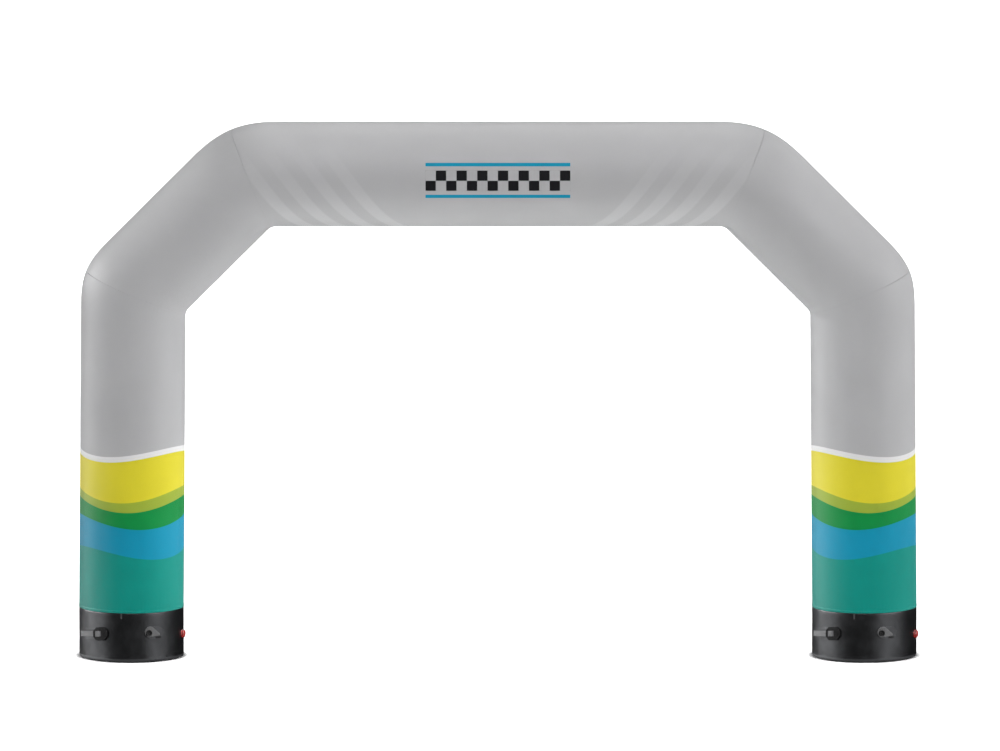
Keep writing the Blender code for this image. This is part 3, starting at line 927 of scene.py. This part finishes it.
def snapped(piece, lines, lift):
    # the same lines laid on the surface of a piece
    mesh = piece.data
    faces = [tuple(face.vertices) for face in mesh.polygons]
    tree = BVHTree.FromPolygons([vert.co for vert in mesh.vertices], faces)
    laid = []
    for line in lines:
        found = [tree.find_nearest(point) for point in line]
        laid.append([spot + normal * lift for spot, normal, face, reach in found])
    return laid


def leaned(spot):
    # a place on the middle line, moved out with the leg's lean
    lean = min(max((lengths[0] - spot.z) / (lengths[0] - baseHeight), 0), 1)
    return spot - Vector((path["splay"] * lean, 0, 0))


def squareTo(distance):
    # square to the middle line, in the arch's own plane
    ahead = (pathPoint(distance + 0.001) - pathPoint(distance - 0.001)).normalized()
    return ahead.cross(Vector((0, 1, 0)))


def ringAround(distance, flip):
    middle, across = leaned(pathPoint(distance)), squareTo(distance)
    reach = tubeRadius + panel["guideOut"]
    ring = []
    for step in range(panel["ringPoints"]):
        turn = math.tau * step / panel["ringPoints"]
        ring.append(middle + (across * math.cos(turn) + Vector((0, math.sin(turn), 0))) * reach)
    return mirrorX(ring) if flip else ring


def backLine(start, end, shift, flip):
    # a line along the back of the tube, shifted to one side of it
    line = []
    count = int((end - start) / panel["rowStep"]) + 1
    for step in range(count + 1):
        distance = start + (end - start) * step / count
        back = leaned(pathPoint(distance)) + Vector((0, tubeRadius + panel["guideOut"], 0))
        line.append(back + squareTo(distance) * shift)
    return mirrorX(line) if flip else line


def stitches(name, lines, closed, look, pitch, length, thickness, seed):
    guide = guideMesh(name, lines, closed)
    return runTree(stitchRow, name, guide, {
        "Pitch": pitch, "Length": length, "Thickness": thickness, "Seed": seed, "Material": look,
    })


def joined(name, meshes):
    pool = bmesh.new()
    for mesh in meshes:
        pool.from_mesh(mesh)
    whole = bpy.data.meshes.new(name)
    pool.to_mesh(whole)
    pool.free()
    for look in meshes[0].materials:
        whole.materials.append(look)
    for mesh in meshes:
        bpy.data.meshes.remove(mesh)
    return addPiece(name, whole)


def sewPanel(piece, name, look, rings, start, end, flip, seed):
    # rows round the seams and two rows down the lap at the back
    sizes = (coverThreads[look], panel["stitchPitch"], panel["stitchLength"], panel["stitchThickness"])
    lift = panel["stitchThickness"] * 0.15
    loops = snapped(piece, [ringAround(spot, flip) for spot in rings], lift)
    shifts = (-panel["lapWidth"] * 0.3, panel["lapWidth"] * 0.3)
    rows = snapped(piece, [backLine(start, end, shift, flip) for shift in shifts], lift)
    thread = joined(name, [
        stitches(name + "_rings", loops, True, *sizes, seed),
        stitches(name + "_rows", rows, False, *sizes, seed + 1),
    ])
    finishPiece(thread)


def makePanels():
    half = path["gap"] / 2
    hemZ = baseHeight - panel["hemOverlap"]
    hemTop = panel["hemHeight"]
    hemSteps = [0, 0.0003, 0.0008, panel["hemRound"], 0.004, 0.010, 0.016]
    hemSteps += [hemTop - panel["hemStep"], hemTop - panel["hemStep"] / 2, hemTop, hemTop + 0.002]
    legRoute = [hemZ + step for step in hemSteps] + stations(hemZ + hemTop + 0.006, lowSeam - half)
    nearHem = hemZ + 10 * hemTop
    legGirth = [hemGirth(spot - hemZ) if spot < nearHem else seamGirth(lowSeam - spot)
                for spot in legRoute]
    legToSeam = [min(spot - hemZ, lowSeam - spot) for spot in legRoute]
    haunchRoute = stations(lowSeam + half, highSeam - half)
    haunchToSeam = [min(spot - lowSeam, highSeam - spot) for spot in haunchRoute]
    haunchGirth = [seamGirth(toSeam) for toSeam in haunchToSeam]
    farSeam = 2 * halfLength - highSeam
    headerRoute = stations(highSeam + half, farSeam - half)
    headerToSeam = [min(spot - highSeam, farSeam - spot) for spot in headerRoute]
    headerGirth = [seamGirth(toSeam) for toSeam in headerToSeam]
    row, hemRow = panel["seamRow"], panel["hemRow"]

    jobs = []
    for side, sign in sides.items():
        jobs.append(("leg", side, sign, legRoute, legGirth, legToSeam,
                     [hemZ + hemRow, hemZ + hemTop - hemRow, lowSeam - row]))
        jobs.append(("haunch", side, sign, haunchRoute, haunchGirth, haunchToSeam,
                     [lowSeam + row, highSeam - row]))
    jobs.append(("header", "", -1, headerRoute, headerGirth, headerToSeam,
                 [highSeam + row, farSeam - row]))
    for kind, side, sign, route, girth, toSeam, rings in jobs:
        points = [pathPoint(spot) for spot in route]
        if sign > 0:
            points = mirrorX(points)
        node = f"{kind}_{side}".rstrip("_")
        seed = 10 * sign + len(kind)
        piece = roundPiece("cover_" + node, panel, points, girth, toSeam, route, clothLooks[kind],
                           seed, fillOut)
        finishPiece(piece, [node])
        start, end = route[0] + panel["rowStart"], route[-1] - panel["rowEnd"]
        sewPanel(piece, "thread_" + node, kind, rings, start, end, sign > 0, 40 + seed)
        print("cover panel", node, len(piece.data.polygons), "faces")


makePanels()


base = {
    "sides": 480,
    "edge": 0.012,
    "edgeSteps": 10,
    "footRings": (0.024, 0.029, 0.030, 0.0312, 0.036),
    "wallStep": 0.012,
    "wallEnd": 0.008,  # below the top
    # how far below the top, and how far in from the wall
    "topEdge": ((0.0030, 0.0003), (0.0014, 0.0004), (0.0005, 0.0009), (0.0001, 0.0018), (0.0, 0.0035)),
    "lapWidth": 0.036,
    "lapHeight": 0.0008,
    "puckers": 46,
    "puckerDepth": 0.0006,
    "puckerLength": 0.03,
    "unevenness": 0.0006,
    "unevenScale": 9.0,
}


def standFlat(mesh):
    for vert in mesh.vertices:
        vert.co.z = max(vert.co.z, 0.0)


def makeBase(side, sign):
    edge, top = base["edge"], baseHeight - panel["hemOverlap"] - path["gap"]
    rings = []
    for step in range(base["edgeSteps"] + 1):
        turn = math.pi / 2 * (1 - step / base["edgeSteps"])
        rings.append((edge * (1 - math.sin(turn)), tubeRadius - edge + edge * math.cos(turn)))
    rings += [(height, tubeRadius) for height in base["footRings"]]
    spot = base["footRings"][-1] + base["wallStep"]
    while spot < top - base["wallEnd"]:
        rings.append((spot, tubeRadius))
        spot += base["wallStep"]
    rings += [(top - below, tubeRadius - inward) for below, inward in base["topEdge"]]
    heights = [height for height, radius in rings]
    points = [Vector((sign * footX, 0, height)) for height in heights]
    girth = [radius / tubeRadius for height, radius in rings]
    toSeam = [top - height for height in heights]
    piece = roundPiece(f"base_{side}", base, points, girth, toSeam, heights, baseCoating,
                       3 + sign, standFlat)
    finishPiece(piece, [f"boot_{side}"])


for side, sign in sides.items():
    makeBase(side, sign)
print("bases are made")

# Where each base's fittings sit, in degrees round it: 0 is the front, and 90 faces +X
fittings = {
    "left": {"tab": -10.2, "anchor": -33.9, "valve": 20.2, "cap": 75.0},
    "right": {"tab": -12.2, "anchor": -36.0, "valve": 18.2, "cap": 72.9},
}
anchorHeight = 0.206
anchorTilt = 0.117  # rise of its pieces for each metre along the wall
valveHeight = 0.2155
gap = path["gap"]


def onWall(side, degrees, height, along, up, out):
    turn = math.radians(degrees) + along / tubeRadius
    reach = tubeRadius + out
    return Vector((sides[side] * footX + reach * math.sin(turn), -reach * math.cos(turn), height + up))


def arc(middle, radius, start, end, steps):
    turns = [start + (end - start) * step / steps for step in range(steps + 1)]
    return [(middle[0] + radius * math.cos(turn), middle[1] + radius * math.sin(turn)) for turn in turns]


def circle(middle, radius, steps=48):
    return arc(middle, radius, 0, math.tau, steps)[:-1]


def roundedBox(left, right, height, corner, steps=8):
    near, far, high = right - corner, left + corner, height / 2 - corner
    points = []
    for turn, spot in enumerate(((near, high), (far, high), (far, -high), (near, -high))):
        start = math.pi / 2 * turn
        points += arc(spot, corner, start, start + math.pi / 2, steps)
    return points


def boxAt(middle, width, height, corner, steps=8):
    return roundedBox(middle - width / 2, middle + width / 2, height, corner, steps=steps)


def eightSides(left, right, height, cut, soft, steps=4):
    # an outline with cut corners, its eight points rounded off
    high = height / 2
    corners = [(right, cut - high), (right, high - cut), (right - cut, high), (left + cut, high),
               (left, high - cut), (left, cut - high), (left + cut, -high), (right - cut, -high)]
    points = []
    for before, corner, after in zip(corners[-1:] + corners[:-1], corners, corners[1:] + corners[:1]):
        spot = Vector(corner)
        toBefore = (Vector(before) - spot).normalized() * soft
        toAfter = (Vector(after) - spot).normalized() * soft
        for step in range(steps + 1):
            share = step / steps
            curve = spot + toBefore * (1 - share) ** 2 + toAfter * share ** 2
            points.append((curve.x, curve.y))
    return points


def flatPlate(outlines, thickness, rim, rimSteps=2, out=0.0):
    # a flat plate with rounded rims; the first outline is its edge and the others are holes
    curve = bpy.data.curves.new("plate", "CURVE")
    curve.dimensions = "2D"
    curve.fill_mode = "BOTH"
    curve.extrude = thickness / 2 - rim
    curve.bevel_depth = rim
    curve.bevel_resolution = rimSteps
    curve.offset = -rim
    for outline in outlines:
        spline = curve.splines.new("POLY")
        spline.points.add(len(outline) - 1)
        spline.use_cyclic_u = True
        for point, (along, up) in zip(spline.points, outline):
            point.co = (along, up, 0, 1)
    mesh = plainMesh(addPiece("plate", curve), "plate")
    bpy.data.curves.remove(curve)
    shape = bmesh.new()
    shape.from_mesh(mesh)
    bpy.data.meshes.remove(mesh)
    bmesh.ops.remove_doubles(shape, verts=shape.verts, dist=0.00001)
    bmesh.ops.recalc_face_normals(shape, faces=shape.faces)
    # a narrow band inside each flat face keeps its shading flat
    for sign in (1, -1):
        flats = [face for face in shape.faces if face.normal.z * sign > 0.999]
        bmesh.ops.inset_region(shape, faces=flats, thickness=0.0004, use_even_offset=False)
    for vert in shape.verts:
        vert.co.z += thickness / 2 + out
    return shape


def wrapPlate(shape, side, degrees, height, lift, step=0.006, tilt=0.0):
    # the plate's flat place is kept as its UV map, and then it is bent round the wall
    reach = [vert.co.x for vert in shape.verts]
    for count in range(math.ceil(min(reach) / step), math.floor(max(reach) / step) + 1):
        parts = shape.verts[:] + shape.edges[:] + shape.faces[:]
        bmesh.ops.bisect_plane(shape, geom=parts, plane_co=(count * step, 0, 0), plane_no=(1, 0, 0))
    bmesh.ops.triangulate(shape, faces=[face for face in shape.faces if len(face.verts) > 4])
    uv = shape.loops.layers.uv.new("UVMap")
    for face in shape.faces:
        for loop in face.loops:
            loop[uv].uv = loop.vert.co.xy
    for vert in shape.verts:
        up = vert.co.y + vert.co.x * tilt
        vert.co = onWall(side, degrees, height, vert.co.x, up, lift + vert.co.z)
    return shape


def turnedShape(rings, turns, wave=None):
    # rings of (radius, height); a ring of no radius is one point
    shape = bmesh.new()
    rows = []
    for index, (radius, height) in enumerate(rings):
        if radius == 0:
            rows.append([shape.verts.new((0, 0, height))])
            continue
        row = []
        for step in range(turns):
            turn = math.tau * step / turns
            reach = radius + (wave(index, height, turn) if wave else 0)
            row.append(shape.verts.new((reach * math.cos(turn), reach * math.sin(turn), height)))
        rows.append(row)
    for low, high in zip(rows, rows[1:]):
        for step in range(turns):
            ahead = (step + 1) % turns
            if len(low) == 1:
                shape.faces.new((low[0], high[ahead], high[step]))
            elif len(high) == 1:
                shape.faces.new((low[step], low[ahead], high[0]))
            else:
                shape.faces.new((low[step], low[ahead], high[ahead], high[step]))
    bmesh.ops.recalc_face_normals(shape, faces=shape.faces)
    return shape


def standOnWall(shape, side, degrees, height, lift):
    # a turned shape stands on the wall with its axis pointing out
    turn = Matrix.Rotation(math.radians(degrees), 4, "Z") @ Matrix.Rotation(math.radians(90), 4, "X")
    shape.transform(Matrix.Translation(onWall(side, degrees, height, 0, 0, lift)) @ turn)
    return shape


def fitPiece(side, name, node, shapes, material, sharp=38):
    # several shapes as one piece, which stands for one node
    pool = bmesh.new()
    for shape in shapes:
        part = bpy.data.meshes.new("part")
        shape.to_mesh(part)
        shape.free()
        pool.from_mesh(part)
        bpy.data.meshes.remove(part)
    mesh = bpy.data.meshes.new(f"{name}_{side}")
    pool.to_mesh(mesh)
    pool.free()
    mesh.materials.append(material)
    mesh.shade_smooth()
    mesh.set_sharp_from_angle(angle=math.radians(sharp))
    piece = addPiece(f"{name}_{side}", mesh)
    finishPiece(piece, [f"{node}_{side}"])
    return piece


anchorPatch = {
    "left": -0.262, "right": 0.042, "height": 0.084, "corner": 0.018, "thickness": 0.002, "rim": 0.0007,
}
strap = {
    "start": -0.254, "end": 0.012, "width": 0.041, "thickness": 0.0025,
    "step": 0.003, "climbStep": 0.0012,  # from one cross section to the next
    "flatSteps": 12, "roundSteps": 6,
    "boxStitch": (-0.248, -0.212), "barTacks": (-0.086, -0.0835, -0.081), "stitchIn": 0.0045,
    "pitch": 0.0032, "stitch": 0.0027, "thread": 0.0007,
}
buckle = {
    "left": -0.0725, "right": 0.054, "height": 0.096, "cut": 0.027, "round": 0.006, "plate": 0.0042,
    "rim": 0.0009, "borderIn": 0.0007, "border": 0.0055, "borderRise": 0.0008,
    "slots": (-0.0485, -0.006), "slotWidth": 0.012,
    "slotHeight": 0.047, "slotCorner": 0.003, "ribs": (0.014, 0.022, 0.030, 0.038), "ribWidth": 0.0026,
    "ribHeight": 0.046, "ribRise": 0.0008, "fullThickness": 0.005,
}


def boxWeld(tree, u, v):
    # distance in from the edge of the anchor's patch
    middle = (anchorPatch["left"] + anchorPatch["right"]) / 2
    half = (anchorPatch["right"] - anchorPatch["left"]) / 2
    alongIn = subtract(tree, half, absolute(tree, subtract(tree, u, middle)))
    upIn = subtract(tree, anchorPatch["height"] / 2, absolute(tree, v))
    return calc(tree, "SMOOTH_MIN", alongIn, upIn, 0.012)


def strapLift(along):
    low = anchorPatch["thickness"] + 2 * gap
    high = low + strap["thickness"] + buckle["fullThickness"] + 2 * gap

    def climb(slot):
        share = min(max((along - slot) / buckle["slotWidth"] + 0.5, 0), 1)
        return share * share * (3 - 2 * share)

    entry, leave = buckle["slots"]
    return low + (high - low) * (climb(entry) - climb(leave))


def strapShape(side, degrees):
    # webbing with round selvedges, which comes up through one slot and goes down the next
    half, thick = strap["width"] / 2, strap["thickness"] / 2
    flat = half - thick
    section = []
    for sign in (1, -1):
        start = -sign * math.pi / 2
        section += arc((sign * flat, 0), thick, start, start + math.pi, strap["roundSteps"])
        section += [(sign * flat * (1 - 2 * step / strap["flatSteps"]), sign * thick)
                    for step in range(1, strap["flatSteps"])]
    columns = []
    along = strap["start"]
    while along < strap["end"] - 0.0015:
        columns.append(along)
        climbing = any(abs(along - slot) < buckle["slotWidth"] * 0.6 for slot in buckle["slots"])
        along += strap["climbStep"] if climbing else strap["step"]
    columns = [strap["start"] + 0.0003, strap["start"] + 0.001] + columns[1:] + [strap["end"]]
    slims = {0: 0.35, 1: 0.8, len(columns) - 1: 0.6}  # the ends are pressed thinner
    shape = bmesh.new()
    uv = shape.loops.layers.uv.new("UVMap")
    rows = []
    for index, along in enumerate(columns):
        row = []
        for up, out in section:
            lift = strapLift(along) + thick + out * slims.get(index, 1.0)
            place = onWall(side, degrees, anchorHeight + along * anchorTilt, along, up, lift)
            row.append(shape.verts.new(place))
        rows.append(row)
    count = len(section)
    for index in range(len(rows) - 1):
        for step in range(count):
            ahead = (step + 1) % count
            corners = ((index, step), (index, ahead), (index + 1, ahead), (index + 1, step))
            face = shape.faces.new([rows[column][spot] for column, spot in corners])
            for loop, (column, spot) in zip(face.loops, corners):
                loop[uv].uv = (columns[column], section[spot][0])
    shape.faces.new(rows[0])
    shape.faces.new(rows[-1])
    bmesh.ops.recalc_face_normals(shape, faces=shape.faces)
    return shape


def strapSewing(side, degrees):
    # a box with a cross in it at the strap's end, and bar tacks before the buckle
    low, high = strap["boxStitch"]
    half = strap["width"] / 2 - strap["stitchIn"]
    corners = [(low, -half), (high, -half), (high, half), (low, half), (low, -half)]
    runs = list(zip(corners, corners[1:])) + [((low, -half), (high, half)), ((low, half), (high, -half))]
    runs += [((tack, -half), (tack, half)) for tack in strap["barTacks"]]
    lift = anchorPatch["thickness"] + 2 * gap + strap["thickness"] + strap["thread"] * 0.1
    lines = []
    for (startAlong, startUp), (endAlong, endUp) in runs:
        line = []
        for step in range(9):
            share = step / 8
            along = startAlong + (endAlong - startAlong) * share
            up = startUp + (endUp - startUp) * share
            line.append(onWall(side, degrees, anchorHeight + along * anchorTilt, along, up, lift))
        lines.append(line)
    return stitches(f"strap_thread_{side}", lines, False, strapThread, strap["pitch"], strap["stitch"],
                    strap["thread"], 5)


def makeAnchor(side):
    degrees = fittings[side]["anchor"]
    outline = roundedBox(*(anchorPatch[key] for key in ("left", "right", "height", "corner")))
    shape = wrapPlate(flatPlate([outline], anchorPatch["thickness"], anchorPatch["rim"]),
                      side, degrees, anchorHeight, gap, tilt=anchorTilt)
    patch = fitPiece(side, "anchor_backing", "anchor_patch", [shape], anchorCoating)

    shape = strapShape(side, degrees)
    band = fitPiece(side, "anchor_webbing", "anchor_strap", [shape], strapWeave, 50)
    sewing = addPiece(f"strap_thread_{side}", strapSewing(side, degrees))
    finishPiece(sewing)
    strapLength()

    slots = [boxAt(slot, buckle["slotWidth"], buckle["slotHeight"], buckle["slotCorner"], 4)
             for slot in buckle["slots"]]
    edge = (buckle["left"], buckle["right"], buckle["height"], buckle["cut"])
    plate = flatPlate([eightSides(*edge, buckle["round"]), *slots], buckle["plate"], buckle["rim"])

    def drawnIn(inset, cut):
        return eightSides(edge[0] + inset, edge[1] - inset, edge[2] - 2 * inset, cut, buckle["round"])

    outer = drawnIn(buckle["borderIn"], edge[3])
    inner = drawnIn(buckle["border"], edge[3] - buckle["border"] * 0.6)
    shapes = [plate, flatPlate([outer, inner], buckle["borderRise"] * 1.5, buckle["borderRise"] * 0.6,
                               out=buckle["plate"] - buckle["borderRise"] * 0.5)]
    for along in buckle["ribs"]:
        bar = boxAt(along, buckle["ribWidth"], buckle["ribHeight"], buckle["ribWidth"] / 2 - 0.0001, 4)
        shapes.append(flatPlate([bar], buckle["ribRise"] * 1.5, buckle["ribRise"] * 0.7,
                                out=buckle["plate"] - buckle["ribRise"] * 0.5))
    lift = anchorPatch["thickness"] + strap["thickness"] + 3 * gap
    shapes = [wrapPlate(shape, side, degrees, anchorHeight, lift, tilt=anchorTilt) for shape in shapes]
    fitPiece(side, "buckle_plate", "buckle", shapes, mouldings["buckle"])


def strapLength():
    # measured along its own bends
    length, along = 0.0, strap["start"]
    while along < strap["end"]:
        ahead = min(along + 0.001, strap["end"])
        length += math.hypot(ahead - along, strapLift(ahead) - strapLift(along))
        along = ahead
    return length


anchorCoating = coatingMaterial("anchor patch coating", coating["patchColor"], boxWeld)
for side in sides:
    makeAnchor(side)
print("anchors are made")


valve = {
    "patchMiddle": 0.045, "patchWidth": 0.160, "patchHeight": 0.096, "scallops": 18, "scallopDip": 0.0018,
    "patchThickness": 0.002, "patchRim": 0.0007,
    "leafRadius": 0.0385, "leafRoot": (0.008, 0.010), "leafTip": (0.078, -0.013), "tipRadius": 0.009,
    "leafPlate": 0.0042, "raised": 0.0013,
    "throatRadius": 0.0165, "throatWall": 0.005, "throatHeight": 0.014, "throatFloor": 0.003,
    "clearance": 0.0012, "threadPitch": 0.0028, "threadDepth": 0.0006,
    "pullMiddle": (0.075, -0.034), "pullSize": (0.044, 0.015), "pullCorner": 0.004,
    "ribPitch": 0.0034, "ribWidth": 0.0018, "ribsBeside": 3,
    # the rib from the hole to the tip: along the leaf and across it
    "leafRib": ((0.034, -0.0022), (0.066, -0.0012), (0.066, 0.0012), (0.034, 0.0022)),
}


def ovalWeld(tree, u, v):
    # distance in from the edge of the valve's oval patch
    width, height = valve["patchWidth"] / 2, valve["patchHeight"] / 2
    along = calc(tree, "DIVIDE", subtract(tree, u, valve["patchMiddle"]), width)
    up = calc(tree, "DIVIDE", v, height)
    reach = calc(tree, "SQRT", add(tree, multiply(tree, along, along), multiply(tree, up, up)))
    return multiply(tree, subtract(tree, 1.0, reach), height)


def scallopedOval():
    count = valve["scallops"] * 8
    points = []
    for step in range(count):
        turn = math.tau * step / count
        dip = valve["scallopDip"] * abs(math.cos(valve["scallops"] * turn / 2)) ** 2
        points.append((valve["patchMiddle"] + (valve["patchWidth"] / 2 - dip) * math.cos(turn),
                       (valve["patchHeight"] / 2 - dip) * math.sin(turn)))
    return points


def leafOutline():
    # a round end and a small tip joined by straight flanks
    root, tip = Vector(valve["leafRoot"]), Vector(valve["leafTip"])
    axis = tip - root
    aim = math.atan2(axis.y, axis.x)
    spread = math.acos((valve["leafRadius"] - valve["tipRadius"]) / axis.length)
    points = arc(root, valve["leafRadius"], aim + spread, aim + math.tau - spread, 48)
    return points + arc(tip, valve["tipRadius"], aim - spread, aim + spread, 14)


def polygonArea(outline):
    pairs = zip(outline, outline[1:] + outline[:1])
    return abs(sum(x * nextY - nextX * y for (x, y), (nextX, nextY) in pairs)) / 2


def throatShape():
    inner, height = valve["throatRadius"], valve["throatHeight"]
    outer = inner + valve["throatWall"]
    floor = valve["throatFloor"]
    # the flap on the throat's floor has a knob in its middle and a low bead near its edge
    flap = [(0, 0.0022), (0.0022, 0.0022), (0.0030, 0.0016), (0.0034, 0.0002), (0.006, 0), (0.0115, 0),
            (0.0122, 0.0006), (0.0135, 0.0006), (0.0142, 0), (inner, 0)]
    rings = [(radius, floor + rise) for radius, rise in flap]
    first = len(rings)
    steps = 22
    threaded = height - 0.0024 - floor
    rings += [(inner, floor + 0.0006 + threaded * step / steps) for step in range(steps + 1)]
    last = len(rings) - 2
    rings += [(inner + 0.0006, height - 0.0007), (inner + 0.0016, height - 0.0001),
              (outer - 0.0018, height), (outer - 0.0006, height - 0.0005), (outer, height - 0.0018),
              (outer, 0.0), (0, 0.0)]

    def wave(index, level, turn):
        if not first < index < last:
            return 0.0
        return -valve["threadDepth"] * max(math.cos(math.tau * level / valve["threadPitch"] - turn), -0.2)

    return turnedShape(rings, 64, wave)


def makeValve(side):
    degrees = fittings[side]["valve"]
    outline = scallopedOval()
    shape = wrapPlate(flatPlate([outline], valve["patchThickness"], valve["patchRim"]),
                      side, degrees, valveHeight, gap)
    patch = fitPiece(side, "valve_backing", "valve_patch", [shape], valveCoating)
    polygonArea(outline)

    lift = valve["patchThickness"] + 2 * gap
    hole = valve["throatRadius"] + valve["throatWall"] + valve["clearance"]
    top = valve["leafPlate"]
    tip = Vector(valve["leafTip"])
    root = Vector(valve["leafRoot"])
    axis = (tip - root).normalized()
    square = Vector((-axis.y, axis.x))
    rib = []
    for away, shift in valve["leafRib"]:
        spot = root + axis * away + square * shift
        rib.append((spot.x, spot.y))

    def raised(outlines, thickness=valve["raised"]):
        # a low detail on the face of the leaf or of the pull
        return flatPlate(outlines, thickness, 0.0005, out=top - 0.0006)

    collarRing = [circle((0, 0), hole + 0.0058), circle((0, 0), hole + 0.0003)]
    shapes = [
        flatPlate([leafOutline(), circle((0, 0), hole)], top, 0.0013, 3),
        raised(collarRing, valve["raised"] + 0.0001), raised([rib]), raised([circle(tip, 0.0055, 28)]),
    ]
    shapes = [wrapPlate(shape, side, degrees, valveHeight, lift, 0.003) for shape in shapes]
    fitPiece(side, "collar_leaf", "valve_collar", shapes, mouldings["collar"])

    shape = standOnWall(throatShape(), side, degrees, valveHeight, lift)
    fitPiece(side, "throat_ring", "valve_throat", [shape], mouldings["throat"])

    middle, drop = valve["pullMiddle"]
    width, height = valve["pullSize"]
    shapes = [flatPlate([boxAt(middle, width, height, valve["pullCorner"])], top, 0.0012, 3)]
    for step in range(-valve["ribsBeside"], valve["ribsBeside"] + 1):
        spot = middle + step * valve["ribPitch"]
        shapes.append(raised([boxAt(spot, valve["ribWidth"], height - 0.004, 0.0008, 3)]))
    shapes = [wrapPlate(shape, side, degrees, valveHeight + drop, lift, 0.003) for shape in shapes]
    fitPiece(side, "pull_bar", "valve_pull", shapes, mouldings["throat"])


valveCoating = coatingMaterial("valve patch coating", coating["patchColor"], ovalWeld)
for side in sides:
    makeValve(side)
print("valves are made")


cap = {
    "height": 0.174, "radius": 0.029, "tall": 0.026, "crown": 0.011, "flutes": 30, "fluteDepth": 0.0011,
    # the dish in its face: how far from the middle and how far below the top
    "dish": ((0, 0.0012), (0.004, 0.0012), (0.0072, 0.0010), (0.0086, 0.0004), (0.0098, 0.0006)),
}
tab = {"width": 0.010, "height": 0.041, "belowHem": 0.004, "thickness": 0.0015, "rim": 0.0005,
       "corner": 0.002}


def makeCap(side):
    # a ribbed side, a domed face and a shallow dish in it
    radius, straight = cap["radius"], cap["tall"] - cap["crown"]
    rings = [(reach, cap["tall"] - below) for reach, below in cap["dish"]]
    for step in range(5, 17):
        turn = math.pi / 2 * step / 16
        rings.append((radius * math.sin(turn), straight + cap["crown"] * math.cos(turn)))
    start = len(rings) - 1
    rings += [(radius, straight - 0.0012), (radius, straight * 0.5), (radius, 0.0034), (radius, 0.0026),
              (radius, 0.0006), (radius - 0.0006, 0.0), (0, 0.0)]
    end = start + 4

    def wave(index, level, turn):
        if not start <= index < end:
            return 0.0
        depth = cap["fluteDepth"] * (0.4 if index == start else 1.0)
        return -depth * (0.5 - 0.5 * math.cos(cap["flutes"] * turn)) ** 0.6

    shape = turnedShape(rings, cap["flutes"] * 8, wave)
    shape = standOnWall(shape, side, fittings[side]["cap"], cap["height"], gap)
    fitPiece(side, "cap_dome", "relief_cap", [shape], mouldings["cap"])


def makeTab(side):
    outline = boxAt(0, tab["width"], tab["height"], tab["corner"])
    height = baseHeight - tab["belowHem"] - tab["height"] / 2
    shape = flatPlate([outline], tab["thickness"], tab["rim"])
    shape = wrapPlate(shape, side, fittings[side]["tab"], height, gap, 0.0015)
    piece = fitPiece(side, "tab_tape", "seam_tab", [shape], tabWeave)


for side in sides:
    makeCap(side)
    makeTab(side)
print("caps and tabs are made")
